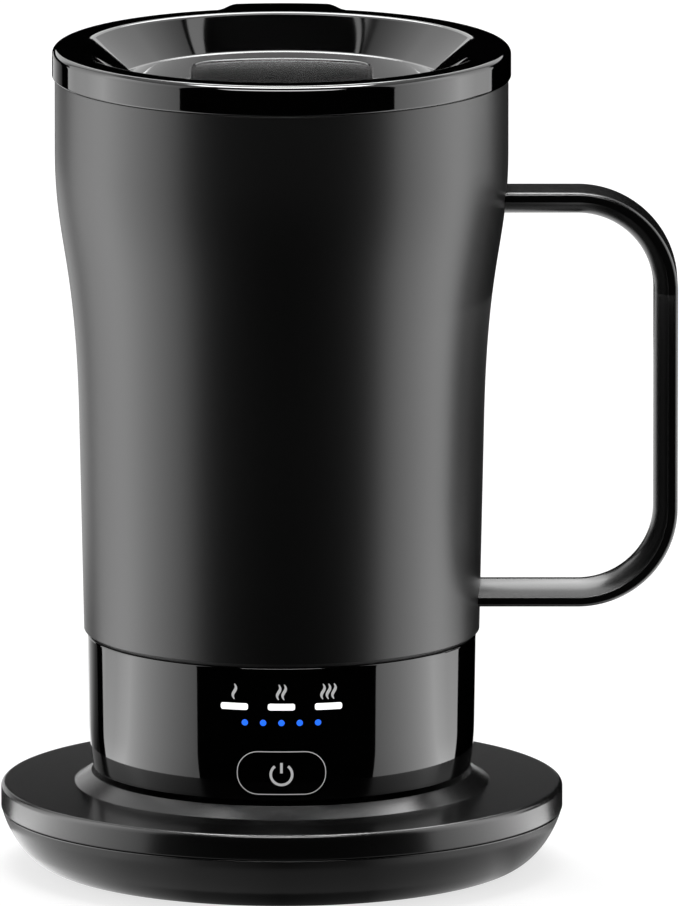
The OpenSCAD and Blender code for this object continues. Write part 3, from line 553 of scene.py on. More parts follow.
# Finish of each material slot of the record
finish = {
    # Polyester powder sprayed on steel and baked: satin black with a faint orange peel
    "powder_coat": grained(
        "powder_coated_steel", ("#050505", "#080808"), (0.32, 0.36), 0.7, 0.002, {"IOR": 1.5}
    ),
    # ABS moulded in a mirror-polished tool: deep black with sharp reflections and hardly a wave in them
    "gloss_black": grained(
        "polished_moulded_abs", ("#020202", "#040404"), (0.03, 0.05), 14, 0.0015, {"IOR": 1.54}
    ),
    # ABS moulded in a spark-eroded tool: dull black with a fine even grain, drawn coarser than life
    "coaster_plastic": grained(
        "spark_textured_abs", ("#080808", "#0b0b0b"), (0.21, 0.25), 0.5, 0.0015, {"IOR": 1.5}
    ),
    # Silicone pressed in a steel mould: soft dark grey with a dry, dusty sheen
    "silicone_black": grained(
        "pressed_black_silicone", ("#1c1c1c", "#262626"), (0.62, 0.75), 0.6, 0.006,
        {"IOR": 1.41, "Sheen Weight": 0.15, "Sheen Roughness": 0.5},
    ),
    # Clear silicone tinted grey and injection moulded: light sinks a little way into it
    "silicone_grey": grained(
        "moulded_grey_silicone", ("#8a8a8a", "#989898"), (0.4, 0.5), 1.5, 0.004, {
            "IOR": 1.41, "Subsurface Weight": 0.3, "Subsurface Radius": (1, 1, 1),
            "Subsurface Scale": 0.0008,
        },
    ),
    # Glass-epoxy laminate under green solder mask: a slight sheen over the weave, drawn at its real pitch
    "circuit_board": grained(
        "solder_masked_glass_epoxy", ("#0f4a2a", "#1a6238"), (0.28, 0.4), 0.5, 0.01, {"IOR": 1.55}
    ),
    # Steel wire cold-headed and zinc plated: pale bluish metal, a little cloudy
    "screw_steel": grained(
        "zinc_plated_steel", ("#a9adb2", "#c3c6ca"), (0.22, 0.36), 0.8, 0.002, {"Metallic": 1}
    ),
    # Brass turned and gold plated: warm metal with fine turning marks
    "contact_brass": grained(
        "gold_plated_brass", ("#c9a24a", "#dcb968"), (0.16, 0.28), 0.35, 0.002, {"Metallic": 1}
    ),
    # Steel sheet rolled to a socket and nickel plated: warm grey metal with soft streaks
    "inlet_steel": grained(
        "nickel_plated_steel", ("#b4b0a8", "#c8c4bc"), (0.2, 0.32), 1.2, 0.001,
        {"Metallic": 1}, stretch=(1, 0.2, 1),
    ),
    # Nylon filled with glass and moulded: dull charcoal with flow streaks
    "inner_plastic": grained(
        "glass_filled_nylon", ("#1e1e1e", "#2a2a2a"), (0.5, 0.62), 1.2, 0.006,
        {"IOR": 1.53}, stretch=(1, 1, 0.4),
    ),
    # Nylon left in its natural ivory: waxy and even
    "connector_plastic": grained(
        "moulded_ivory_nylon", ("#dad5c6", "#e8e4d8"), (0.4, 0.5), 1.5, 0.003, {"IOR": 1.53}
    ),
    # PVC sleeve shrunk over the cells: blue film with shallow wrinkles along it
    "battery_wrap": grained(
        "shrunk_pvc_sleeve", ("#1f4f96", "#2b62b0"), (0.22, 0.34), 5, 0.03,
        {"IOR": 1.54}, stretch=(0.2, 1, 1),
    ),
    # Glass fibre needled into felt: pale matted fibres
    "felt": grained(
        "needled_glass_felt", ("#c4bdae", "#e4dfd2"), (0.85, 1), 0.5, 0.08,
        {"Sheen Weight": 0.3}, stretch=(1, 0.4, 1),
    ),
    # Copper foil etched and laminated in film: red metal with rolling streaks
    "heater_copper": grained(
        "etched_copper_foil", ("#a8623a", "#c57c4e"), (0.25, 0.38), 1.4, 0.002,
        {"Metallic": 1}, stretch=(0.15, 1, 1),
    ),
    # Silicone extruded over wire: dull red
    "lead_red": grained(
        "extruded_red_silicone", ("#9c2820", "#b3362c"), (0.5, 0.6), 0.8, 0.004, {"IOR": 1.41}
    ),
    # Stainless sheet drawn to a cup and brushed round and round: fine level scratches in a bright metal
    "liner_steel": grained(
        "brushed_stainless_steel", ("#aeaca8", "#cbc9c5"), (0.24, 0.38), 4, 0.002,
        {"Metallic": 1, "Anisotropic": 0.5}, stretch=(0.15, 0.15, 14),
    ),
    # Milky polycarbonate moulded as a light guide, lit white from behind
    "light_white": grained(
        "lit_white_polycarbonate", ("#f2f2f2", "#ffffff"), (0.3, 0.35), 1, 0.001,
        {"Emission Color": colour("#ffffff"), "Emission Strength": 1.0},
    ),
    # Milky polycarbonate moulded as a light guide, lit blue from behind
    "light_blue": grained(
        "lit_blue_polycarbonate", ("#0a3fc0", "#1450d8"), (0.3, 0.35), 1, 0.001,
        {"Emission Color": colour("#1f6fff"), "Emission Strength": 1.0},
    ),
}

# The body's powder with a finer flow, on the bent strap: smoother, with clearer lights along its edges
smooth_coated_steel = grained(
    "smooth_powder_coated_steel", ("#050505", "#080808"), (0.19, 0.23), 0.9, 0.0004, {"IOR": 1.5}
)

# ABS moulded in a finely stoned tool: black with a soft grey sheen
satin_abs = grained(
    "satin_moulded_abs", ("#060606", "#090909"), (0.13, 0.16), 5, 0.0003, {"IOR": 1.54}
)

# Ink printed from a rubber pad: a thin flat grey with a soft edge to its gloss, and a painted glow that
# keeps it light whatever light falls on it
glowing_printed_ink = grained(
    "pad_printed_grey_ink_with_painted_glow", ("#a4a4a4", "#acacac"), (0.5, 0.6), 0.3, 0.001,
    {"Emission Color": colour("#a8a8a8"), "Emission Strength": 0.7},
)

for node, part in frame["nodes"].items():
    dress(part, finish[slot_of[node]])


# Coaster

bowl_top_r = coaster_r - coaster_step
bowl_flat_r = bowl_top_r - bowl_draw
coaster_lip_r = coaster_r - coaster_wall - coaster_snug
coaster_floor_z = pad_top + coaster_floor_t
pin_sides = ("left", "centre", "right")


def inlet_place(x, y, depth):
    return x, high("power_inlet", "y") - depth, seam_z + y


def inlet_hole():
    outline = capsule(inlet_w + 2 * inlet_snug, inlet_h + 2 * inlet_snug)
    layers = [(0, inlet_hole_depth), (0, inlet_lead_in), (-inlet_lead_w, -inlet_lead_out)]
    return plate("inlet_hole", outline, layers, inlet_place)


def coaster_bowl():
    edge_z = seam_z - coaster_seam_gap / 2
    side = bezier([
        (bowl_flat_r, bowl_low), (bowl_flat_r + bowl_flat_ease, bowl_low),
        (bowl_top_r - bowl_seam_ease * math.sin(bowl_lean), edge_z - bowl_seam_ease * math.cos(bowl_lean)),
        (bowl_top_r, edge_z),
    ], 32)
    outline = soften([
        (0, pad_top), (pad_r + coaster_snug, pad_top), (pad_r + coaster_snug, bowl_low, pad_pocket_round),
        *side[:-1], (*side[-1], coaster_seam_round), (coaster_lip_r, edge_z),
        (coaster_lip_r, seam_z + coaster_lip_h), (coaster_lip_r - coaster_lip_t, seam_z + coaster_lip_h),
        (coaster_lip_r - coaster_lip_t, seam_z), (bowl_flat_r, coaster_floor_z), (0, coaster_floor_z),
    ])
    return cut(lathe("coaster_bowl", outline), inlet_hole())


def pin_hole(x):
    """A bore with a small countersink for a charging pin."""
    bottom, rim, rim_r = mug_z - pin_hole_depth, mug_z + cut_over, pin_hole_r + pin_rim_w
    return lathe("pin_hole", [
        (0, bottom), (pin_hole_r, bottom), (pin_hole_r, rim - pin_rim_w), (rim_r, rim),
        (rim_r, mug_z + cut_past), (0, mug_z + cut_past),
    ], small_turns, (x, 0))


def coaster_cover():
    pedestal_r = base_r - pedestal_inset
    edge_z = seam_z + coaster_seam_gap / 2
    inner_r = coaster_r - coaster_wall
    step_r = pedestal_r - coaster_wall
    outline = soften([
        (inner_r, edge_z), (coaster_r, edge_z, coaster_seam_round), (coaster_r, cover_z, coaster_edge_round),
        (pedestal_r + pedestal_slope_w, cover_z, pedestal_foot_round), (pedestal_r, mug_z, pedestal_round),
        (0, mug_z), (0, mug_z - coaster_wall),
        (step_r, mug_z - coaster_wall), (step_r, cover_z - coaster_wall), (inner_r, cover_z - coaster_wall),
    ])
    holes = [pin_hole(middle("contact_pin_" + side, "x")) for side in pin_sides]
    return cut(lathe("coaster_cover", outline), *holes, inlet_hole())


def coaster_foot():
    outline = soften([(0, 0), (pad_r, 0, pad_edge_round), (pad_r, pad_top), (0, pad_top)])
    return lathe("coaster_foot", outline)


def charging_socket():
    outline = refine(capsule(inlet_w, inlet_h), fine_step)
    back = inlet_l - inlet_back_t
    layers = [
        (0, inlet_l), (0, inlet_lip), (inlet_lip, 0), (inlet_wall - inlet_lip, 0), (inlet_wall, inlet_lip),
        (inlet_wall, back), (inlet_h, back),
    ]
    sleeve = pad("charging_socket", outline, (inlet_w - inlet_h) / 2, layers, inlet_place)
    tongue = plate("tongue", pill(inlet_w - tongue_side, tongue_t, tongue_corner), [
        (0, inlet_l - tongue_root), (0, tongue_in + tongue_edge_l), (tongue_edge_w, tongue_in),
    ], inlet_place)
    return weld(sleeve, tongue)


def contact_pin(node, name):
    x, top, bottom = middle(node, "x"), high(node, "z"), low(node, "z")
    r = high(node, "x") - x
    dome = arc((0, top - r), r, 0, 90, 10)
    return lathe(name, [(0, bottom), (r, bottom), *dome], small_turns, (x, 0))


stand_in(coaster_bowl(), "coaster_base")
stand_in(coaster_cover(), "coaster_top")
stand_in(coaster_foot(), "coaster_pad")
stand_in(charging_socket(), "power_inlet")
for side in pin_sides:
    stand_in(contact_pin("contact_pin_" + side, "charging_pin_" + side), "contact_pin_" + side)


# Glossy base with its lights and button

button_z = middle("power_button", "z")
bar_z = middle("level_bars", "z")
dot_z = middle("charge_dots", "z")
button_h = high("power_button", "z") - low("power_button", "z")
bar_h = high("level_bars", "z") - low("level_bars", "z")
bar_pitch = high("level_bars", "x") - bar_w / 2
dot_r = (high("charge_dots", "z") - low("charge_dots", "z")) / 2
dot_pitch = (high("charge_dots", "x") - dot_r) / 2
bar_places = [(x, bar_z) for x in (-bar_pitch, 0, bar_pitch)]
dot_places = [(i * dot_pitch, dot_z) for i in (-2, -1, 0, 1, 2)]


def base_radius(z):
    """Radius of the glossy base at a height: a slight taper, tucked in along its lower edge."""
    taper = base_taper * (base_top - z) / (base_top - base_low)
    tuck = base_tuck * (max(0, base_low + base_tuck_h - z) / base_tuck_h) ** 2
    return base_r - taper - tuck


def on_base(centre_x, centre_z, back_y=0):
    """Lays flat shapes on the front of the glossy base, at a depth under its face."""
    def place(x, y, depth):
        z = centre_z + y
        front = -math.sqrt(base_radius(z) ** 2 - (centre_x + x) ** 2)
        return centre_x + x, min(front + depth, back_y), z
    return place


def button_hole():
    def place(x, y, depth):
        return x, depth - base_r, button_z + y
    layers = [(-button_gap, 2 * base_wall), (-button_gap, -base_wall)]
    return plate("button_hole", pill(button_w, button_h, button_corner, 12), layers, place)


def glossy_base():
    inner = base_r - base_wall
    steps = 32
    sides = [base_low + (base_top - base_edge_round - base_low) * k / steps for k in range(1, steps)]
    outline = soften([
        (base_radius(base_low), base_low, base_foot_round), *[(base_radius(z), z) for z in sides],
        (base_r, base_top, base_edge_round), (inner, base_top), (inner, ledge_z + ledge_h),
        (inner - ledge_w, ledge_z + ledge_h), (inner - ledge_w, ledge_z), (inner, ledge_z),
        (inner, base_low),
    ])
    return cut(lathe("glossy_base", outline, fine_turns), button_hole())


def button_cap():
    outline = refine(pill(button_w, button_h, button_corner), cap_step)
    face = [(inset, 0) for inset in (0.8, 1.4, 2.2, 3, 3.8, button_h)]
    layers = [(0, button_depth), *eased(button_edge_round), *face]
    spine = (button_w - button_h) / 2
    return pad("button_cap", outline, spine, layers, on_base(0, button_z, button_back_y))


def light_layers(reach):
    """A light guide through the wall, with a slightly proud face."""
    face = [(inset, -light_proud) for inset in (light_edge, light_face_in, reach)]
    return [(0, light_depth), (0, 0), *face]


def light_bar(k, place):
    outline = refine(pill(bar_w, bar_h, bar_corner), fine_step)
    return pad(f"light_bar_{k}", outline, (bar_w - bar_h) / 2, light_layers(bar_h), on_base(*place))


def light_dot(k, place):
    outline = arc((0, 0), dot_r, 0, 345, 23)
    return pad(f"light_dot_{k}", outline, 0, light_layers(dot_r), on_base(*place))


def steam_wisp(name, x, z, tall=3, sway=0.3, half=0.29, tip=0.04, fullness=0.7):
    """One wavy wisp of steam, thick in the middle and pointed at both ends."""
    steps = [k / 16 for k in range(17)]
    path = [(sway * math.sin(2 * math.pi * (t - 0.5)), tall * (t - 0.5)) for t in steps]
    halves = [half * math.sin(math.pi * (tip + (1 - 2 * tip) * t)) ** fullness for t in steps]
    return ribbon(name, path, halves, on_base(x, z))


def power_mark():
    """The common power sign: an open ring with a stroke in its gap."""
    r, half, gap, drop = 2.05, 0.25, 38, 0.25
    ring = [(x, y - drop) for x, y in arc((0, 0), r, 90 + gap, 450 - gap, 48)]
    stroke = [(0, r * k / 4) for k in range(5)]
    place = on_base(0, button_z)
    return (
        ribbon("power_ring", ring, [half] * len(ring), place),
        ribbon("power_stroke", stroke, [half] * len(stroke), place),
    )


def button_edge_painted_highlight():
    """A fine light line printed along the button's edge: a painted highlight that stands in for the light
    its rounded edge catches.
    """
    path = refine(step_in(pill(button_w, button_h, button_corner), painted_highlight_in), fine_step)
    path.append(path[0])
    return ribbon("button_edge_painted_highlight", path, [painted_highlight_w / 2] * len(path), on_base(0, button_z), lift=0.01)


stand_in(glossy_base(), "base_housing")
stand_in(button_cap(), "power_button")
for k, place in enumerate(bar_places, 1):
    stand_in(light_bar(k, place), "level_bars")
for k, place in enumerate(dot_places, 1):
    stand_in(light_dot(k, place), "charge_dots")

for count, (x, z) in enumerate(bar_places, 1):
    for k in range(count):
        offset = (k - (count - 1) / 2) * wisp_pitch
        printed(steam_wisp(f"steam_{count}_{k + 1}", x + offset, z + wisp_rise), "mug")
# The power sign is print; the line along the button's edge is a painted highlight
for mark in (*power_mark(), button_edge_painted_highlight()):
    printed(mark, "button")


# Body, liner and handle

def wall_line(z):
    return foot_r + (z - shell_low) * wall_taper


def body_wall(inset, top):
    """The body's outside from the waist up, moved inwards by an inset."""
    curve = bezier([
        (waist_r, waist_z), (waist_r + waist_ease * wall_taper, waist_z + waist_ease),
        (body_r, collar_z - shoulder_ease), (body_r, collar_z),
    ], 64)
    return [(r - inset, z) for r, z in [*curve, (body_r, top)]]


def body_shell():
    lip_r = foot_r - shell_lip_w
    wall = body_wall(0, rim_z)
    outline = soften([
        (lip_r, shell_low), (foot_r, shell_low, foot_round), *wall[:-1], (*wall[-1], rim_round),
        *reversed(body_wall(shell_t, rim_z)),
        (wall_line(shell_low + shell_t) - shell_t, shell_low + shell_t), (lip_r, shell_low + shell_t),
    ])
    return lathe("body_shell", outline)


def steel_liner():
    floor = liner_low + liner_t
    centre = (wall_line(floor + liner_corner) - liner_in - liner_corner, floor + liner_corner)
    inner = body_wall(liner_in, rim_z)
    flange_r = body_r - shell_t - flange_snug
    outline = soften([
        (0, liner_low), *arc(centre, liner_corner + liner_t, -90, 0, 16), *body_wall(liner_out, shell_top),
        (flange_r, shell_top), (flange_r, rim_z), (*inner[-1], rim_round), *reversed(inner[:-1]),
        *arc(centre, liner_corner, 0, -90, 16), (0, floor),
    ])
    return lathe("steel_liner", outline)


def radius_at(wall, z):
    """Radius of a wall of (radius, height) points at a height."""
    for (r0, z0), (r1, z1) in zip(wall, wall[1:]):
        if z0 <= z <= z1:
            return r0 + (r1 - r0) * (z - z0) / (z1 - z0)
    return wall[0][0]


def strap_handle():
    half, rise = handle_w / 2, handle_t - handle_side
    grip_r = (half ** 2 + rise ** 2) / (2 * rise)
    turn = math.degrees(math.asin(half / grip_r))
    grip = arc((handle_bend - handle_t + grip_r, 0), grip_r, 180 - turn, 180 + turn, 28)
    section = soften([
        (handle_bend, -half, handle_edge), (handle_bend, half, handle_edge),
        (*grip[0], handle_crease), *grip[1:-1], (*grip[-1], handle_crease),
    ], 8)
    bend_x = handle_x - handle_bend
    top_z, low_z = handle_high - handle_bend, handle_low + handle_bend
    wall = [(foot_r, shell_low), *body_wall(0, shell_top)]
    top_root = radius_at(wall, handle_high - handle_t / 2) - handle_sink
    low_root = radius_at(wall, handle_low + handle_t / 2) - handle_sink
    turn = [math.radians(90 * k / 32) for k in range(33)]
    stations = [((top_root, top_z), (0, 1))]
    stations += [((bend_x, top_z), (math.sin(a), math.cos(a))) for a in turn]
    stations += [((bend_x, low_z), (math.cos(a), -math.sin(a))) for a in turn]
    stations += [((low_root, low_z), (0, -1))]
    return sweep("strap_handle", section, stations)


stand_in(body_shell(), "outer_shell")
stand_in(steel_liner(), "liner")
stand_in(strap_handle(), "handle", smooth_coated_steel)


# Underside of the mug

def foot_band():
    inner = min(v.co.xy.length for v in frame["nodes"]["foot_ring"].data.vertices) / MM
    outer, top = high("foot_ring", "x"), high("foot_ring", "z")
    return lathe("foot_band", soften([
        (inner, mug_z, foot_band_round), (outer, mug_z, foot_band_round), (outer, top), (inner, top),
    ]))


stand_in(foot_band(), "foot_ring")


# Lid with its gasket and slider

lid_in_r = lid_r - lid_rim_w
lid_floor_r = lid_in_r - lid_slope_w
lid_floor_z = lid_top - lid_depth
lid_under_z = lid_floor_z - lid_wall


def swell(t):
    """Eases from 0 to 1 without a corner at either end."""
    t = min(1, max(0, t))
    return t * t * (3 - 2 * t)


def lift_tab():
    """The lip at the back of the lid, swelling from its edge to a blunt tip."""
    tip = math.asin(tab_tip_w / 2 / (lid_r + tab_reach))
    root = math.asin(tab_root_w / 2 / lid_r)
    steps = 40
    outline = []
    for k in range(-steps, steps + 1):
        a = root * k / steps
        r = lid_r - tab_weld + (tab_reach + tab_weld) * swell((root - abs(a)) / (root - tip))
        outline.append((r * math.sin(a), r * math.cos(a)))
    root_x, root_y = tab_root_w / 2 - tab_root_side, lid_in_r + tab_root_in
    outline += [(root_x, root_y), (-root_x, root_y)]
    top = lid_top - tab_drop
    edge = eased(tab_edge_round)
    layers = [(inset, top - tab_t + depth) for inset, depth in reversed(edge)]
    layers += [(inset, top - depth) for inset, depth in edge]
    return plate("lift_tab", outline, layers)


def lid_body():
    slope = lid_depth / lid_slope_w
    under_r = lid_floor_r + lid_wall / 2
    plug_in_r = plug_r - plug_wall
    channel_in, channel_out = plug_r + channel_wall, lid_r - lid_wall
    channel_z = min(lid_top - lid_wall, lid_top - (lid_in_r - channel_in + lid_wall) * slope)
    groove_low, groove_high = gasket_low - groove_clear, gasket_high + groove_clear
    outline = soften([
        (0, lid_under_z), (under_r, lid_under_z, lid_under_round),
        (plug_in_r, lid_under_z + (plug_in_r - under_r) * slope, lid_under_round),
        (plug_in_r, plug_low, plug_inner_round), (plug_r, plug_low, plug_edge_round),
        (plug_r, groove_low), (plug_r - groove_depth, groove_low),
        (plug_r - groove_depth, groove_high), (plug_r, groove_high), (plug_r, rim_z), (channel_in, rim_z),
        (channel_in, channel_z), (channel_out, channel_z), (channel_out, rim_z),
        (lid_r, rim_z, lid_foot_round), (lid_r, lid_top, lid_edge_round),
        (lid_in_r, lid_top, lid_inner_round),
        (lid_floor_r, lid_floor_z, lid_floor_round), (0, lid_floor_z),
    ], 10)
    through = [(0, lid_under_z - cut_past), (0, lid_floor_z + cut_past)]
    mouth = plate("mouth", [(x, drink_y + y) for x, y in capsule(drink_w, drink_l)], through)
    x, y0 = keel_w / 2 + slot_clear, keel_y - keel_l / 2 - slot_clear
    y1 = y0 + keel_l + slot_travel + 2 * slot_clear
    slot = plate("slot", soften([
        (-x, y0, slot_corner), (x, y0, slot_corner), (x, y1, slot_corner), (-x, y1, slot_corner),
    ]), through)
    lid = weld(lathe("lid_body", outline, fine_turns), lift_tab())
    return cut(lid, mouth, slot)


def gasket_band():
    inner = plug_r - groove_depth + groove_clear
    quarter = (gasket_high - gasket_low) / 4
    return lathe("gasket_band", soften([
        (inner, gasket_low), (plug_r, gasket_low), (gasket_r, gasket_low + quarter, gasket_lip_round),
        (plug_r, gasket_low + 2 * quarter, gasket_valley_round),
        (gasket_r, gasket_low + 3 * quarter, gasket_lip_round),
        (plug_r, gasket_high), (inner, gasket_high),
    ]))


def slider_outline():
    """Plan of the slider: rounded corners and a bowed back edge."""
    side = slider_w / 2 - slider_corner
    bow_y = slider_back - slider_bow_r
    reach = math.sqrt((slider_bow_r - slider_corner) ** 2 - side ** 2)
    turn = math.degrees(math.atan2(reach, side))
    return [
        *arc((side, slider_front + slider_corner), slider_corner, -90, 0, 12),
        *arc((side, bow_y + reach), slider_corner, 0, turn, 12),
        *arc((0, bow_y), slider_bow_r, turn, 180 - turn, 24)[1:-1],
        *arc((-side, bow_y + reach), slider_corner, 180 - turn, 180, 12),
        *arc((-side, slider_front + slider_corner), slider_corner, 180, 270, 12),
    ]


def drink_slider():
    top = slider_low + slider_t
    thumb_top = high("lid_slider", "z")
    bead = [(slider_bead * (1 - math.cos(a)), top + slider_bead_h * math.sin(a))
            for a in [math.pi * k / 10 for k in range(11)]]
    slider = plate("drink_slider", slider_outline(), [
        (slider_edge, slider_low), (0, slider_low + slider_edge), *bead,
    ])
    ring = [
        (thumb_w / 2 * math.cos(a), thumb_y + thumb_l / 2 * math.sin(a))
        for a in [2 * math.pi * k / 96 for k in range(96)]
    ]
    rise = [(inset, thumb_top - depth) for inset, depth in eased(thumb_round)]
    thumb = plate("thumb", ring, [(0, slider_low + thumb_root), *rise])
    x, y = keel_w / 2, keel_l / 2
    keel_low = low("lid_slider", "z")
    keel = plate("keel", [(-x, keel_y - y), (x, keel_y - y), (x, keel_y + y), (-x, keel_y + y)], [
        (keel_edge, keel_low), (0, keel_low + keel_edge), (0, top - keel_root),
    ])
    return weld(slider, thumb, keel)


stand_in(lid_body(), "lid_shell")
stand_in(gasket_band(), "lid_gasket")
stand_in(drink_slider(), "lid_slider", satin_abs)


# Floor, light tent and lamp

# Sizes of the studio in millimetres: radii round the mug, heights over the table, then the rest
floor_half = 6000
tent_r = 300
front_layer = tent_r - 4
back_layer = tent_r + 8
far_layer = tent_r + 16
wing_r = 80
wing_z = 0.35
ring_z = wing_z + 0.1
edge_low = 82
tent_low = 150
tent_mid = 195
lid_card_z = 241
strip_low = 265
window_low = 345
tent_high = 420
strip_high = 540
upper_high = 850
tent_top = 1200
lid_card_half = 75
lid_card_front = 30
card_steps = 24
floor_glow = 0.72


def stage_plane(name, points, faces, material):
    mesh = bpy.data.meshes.new(name)
    mesh.from_pydata([Vector(p) * MM for p in points], [], faces)
    plane = added(name, mesh)
    dress(plane, material)
    return plane


def seen_directly(tree):
    """1 for rays from the camera and for what shiny or clear things mirror or show, else 0."""
    path = add(tree, "ShaderNodeLightPath")
    kinds = [path.outputs[name] for name in ("Is Camera Ray", "Is Glossy Ray", "Is Transmission Ray")]
    first = add(tree, "ShaderNodeMath", {0: kinds[0], 1: kinds[1]}, operation="MAXIMUM")
    return add(tree, "ShaderNodeMath", {0: first.outputs[0], 1: kinds[2]}, operation="MAXIMUM").outputs[0]


def floor_paper():
    """White paper: it takes a soft shadow, and its own glow lifts it to white."""
    material, tree = blank_material("white_paper_floor")
    paper = add(tree, "ShaderNodeBsdfDiffuse", {"Color": colour("#b8b8b8")})
    glow = add(tree, "ShaderNodeMath", {0: seen_directly(tree), 1: floor_glow}, operation="MULTIPLY")
    lift = add(tree, "ShaderNodeEmission", {"Strength": glow.outputs[0]})
    both = add(tree, "ShaderNodeAddShader", {0: paper.outputs[0], 1: lift.outputs[0]})
    add(tree, "ShaderNodeOutputMaterial", {"Surface": both.outputs[0]})
    return material


def card_material(name, stops, below=False):
    """A card's glow by stops of (degrees from the front, strength). With below, it is clear from above."""
    material, tree = blank_material(name)
    place = add(tree, "ShaderNodeTexCoord")
    axes = add(tree, "ShaderNodeSeparateXYZ", {0: place.outputs["Object"]})
    front = add(tree, "ShaderNodeMath", {0: axes.outputs["Y"], 1: -1.0}, operation="MULTIPLY")
    angle = add(tree, "ShaderNodeMath", {0: axes.outputs["X"], 1: front.outputs[0]}, operation="ARCTAN2")
    size = add(tree, "ShaderNodeMath", {0: angle.outputs[0]}, operation="ABSOLUTE")
    share = add(tree, "ShaderNodeMath", {0: size.outputs[0], 1: math.pi}, operation="DIVIDE")
    ramp = add(tree, "ShaderNodeValToRGB", {"Fac": share.outputs[0]})
    peak = max(strength for _, strength in stops)
    for k, (degrees, strength) in enumerate(stops):
        stop = ramp.color_ramp.elements[k] if k < 2 else ramp.color_ramp.elements.new(degrees / 180)
        stop.position = degrees / 180
        stop.color = (strength / peak, strength / peak, strength / peak, 1)
    power = add(tree, "ShaderNodeMath", {0: ramp.outputs["Color"], 1: peak}, operation="MULTIPLY")
    glow = add(tree, "ShaderNodeEmission", {"Strength": power.outputs[0]})
    if below:
        side = add(tree, "ShaderNodeNewGeometry")
        clear = add(tree, "ShaderNodeBsdfTransparent")
        glow = add(tree, "ShaderNodeMixShader", {
            0: side.outputs["Backfacing"], 1: clear.outputs[0], 2: glow.outputs[0],
        })
    add(tree, "ShaderNodeOutputMaterial", {"Surface": glow.outputs[0]})
    return material


def black_card():
    material, tree = blank_material("black_velvet_card")
    velvet = add(tree, "ShaderNodeBsdfDiffuse", {"Color": (0, 0, 0, 1)})
    add(tree, "ShaderNodeOutputMaterial", {"Surface": velvet.outputs[0]})
    return material


def only_mirrored(card):
    """A card that shows in reflections alone."""
    for kind in ("camera", "diffuse", "transmission", "shadow", "volume_scatter"):
        setattr(card, "visible_" + kind, False)


def mirrored(facing, radius):
    """Compass angle where the view, thrown back by the glossy base at a facing, passes a circle."""
    a = math.radians(facing)
    start = Vector((math.sin(a), -math.cos(a))) * base_r
    heading = Vector((math.sin(2 * a), -math.cos(2 * a)))
    along = start.dot(heading)
    point = start + heading * (-along + math.sqrt(along ** 2 + radius ** 2 - start.length_squared))
    return math.degrees(math.atan2(point.x, -point.y))


def tent_curve(begin, end, radius, z):
    """Points on a circle at a height, from one compass angle to the next, to the right."""
    turn = (end - begin) % 360
    angles = [math.radians(begin + turn * k / card_steps) for k in range(card_steps + 1)]
    return [(radius * math.sin(a), -radius * math.cos(a), z) for a in angles]


def curved_card(name, first, second, material):
    """A card between two curves, seen in reflections alone."""
    row = card_steps + 1
    faces = [(k, k + 1, k + 1 + row, k + row) for k in range(card_steps)]
    only_mirrored(stage_plane(name, first + second, faces, material))


def tent_wall(name, begin, end, material, bottom, top, radius=tent_r):
    """An upright card between two compass angles."""
    curved_card(name, tent_curve(begin, end, radius, bottom), tent_curve(begin, end, radius, top), material)


def tent_wing(name, facing_from, facing_to, material):
    """A card on the floor, between two rays that the glossy base throws back."""
    outer, inner = [
        tent_curve(mirrored(facing_from, r), mirrored(facing_to, r), r, wing_z) for r in (tent_r, wing_r)
    ]
    curved_card(name, outer, inner, material)


def tent_window(name, low_half, high_half, material, bottom, top):
    """A card at the back that widens from its foot to its head, in degrees to each side."""
    foot = tent_curve(180 - low_half, 180 + low_half, tent_r, bottom)
    head = tent_curve(180 - high_half, 180 + high_half, tent_r, top)
    curved_card(name, foot, head, material)


def roof_card(name, x0, x1, y0, y1, z, material):
    """A level card over the mug."""
    corners = [(x0, y0, z), (x1, y0, z), (x1, y1, z), (x0, y1, z)]
    only_mirrored(stage_plane(name, corners, [(0, 1, 2, 3)], material))


def floor_ring(name, begin, end, inner, outer, stops):
    """A card on the floor round the coaster, between two compass angles."""
    cloth = card_material(name + "_cloth", stops)
    curved_card(name, tent_curve(begin, end, outer, ring_z), tent_curve(begin, end, inner, ring_z), cloth)


stage_plane(
    "floor", [(x * floor_half, y * floor_half, 0) for x, y in ((-1, -1), (1, -1), (1, 1), (-1, 1))],
    [(0, 1, 2, 3)], floor_paper(),
)

# Where the upper softboxes begin and end, in degrees from the front
upper_side = 125.4
upper_rear = 161.5

side_cloth = card_material("softbox_cloth", [
    (45, 1.3), (60, 2.2), (95, 4.5), (108, 2.8), (120, 1.9), (140, 1.6),
])
upper_cloth = card_material("upper_softbox_cloth", [
    (upper_side, 1.8), (128.4, 1.8), (128.8, 0.2), (130, 0.2), (130.8, 0.7), (138, 1.35), (145, 1.75),
    (155, 1.5), (upper_rear, 1.3),
])
strip_cloth = card_material("strip_light_cloth", [(0, 40), (180, 40)])
window_cloth = card_material("window_cloth", [(0, 11), (180, 11)])
front_cloth = card_material("front_light_cloth", [(0, 14), (180, 14)])
handle_cloth = card_material("handle_light_cloth", [
    (0, 4), (80, 4), (95, 7.5), (125, 7.5), (150, 3), (180, 3),
], below=True)
rear_cloth = card_material("rear_softbox_cloth", [(0, 2.3), (180, 2.3)])
edge_cloth = card_material("edge_cloth", [
    (130, 0.02), (138, 0.12), (143, 0.3), (148, 0.5), (155, 0.8), (162, 1),
])
velvet = black_card()

# Where the glossy base faces, in degrees off the front, at the edges of what it mirrors
front_edges = (-25.9, 29.1)
side_edges = (-67.5, 65.4)
rear_edges = (-72, 86)
left_limit = -83

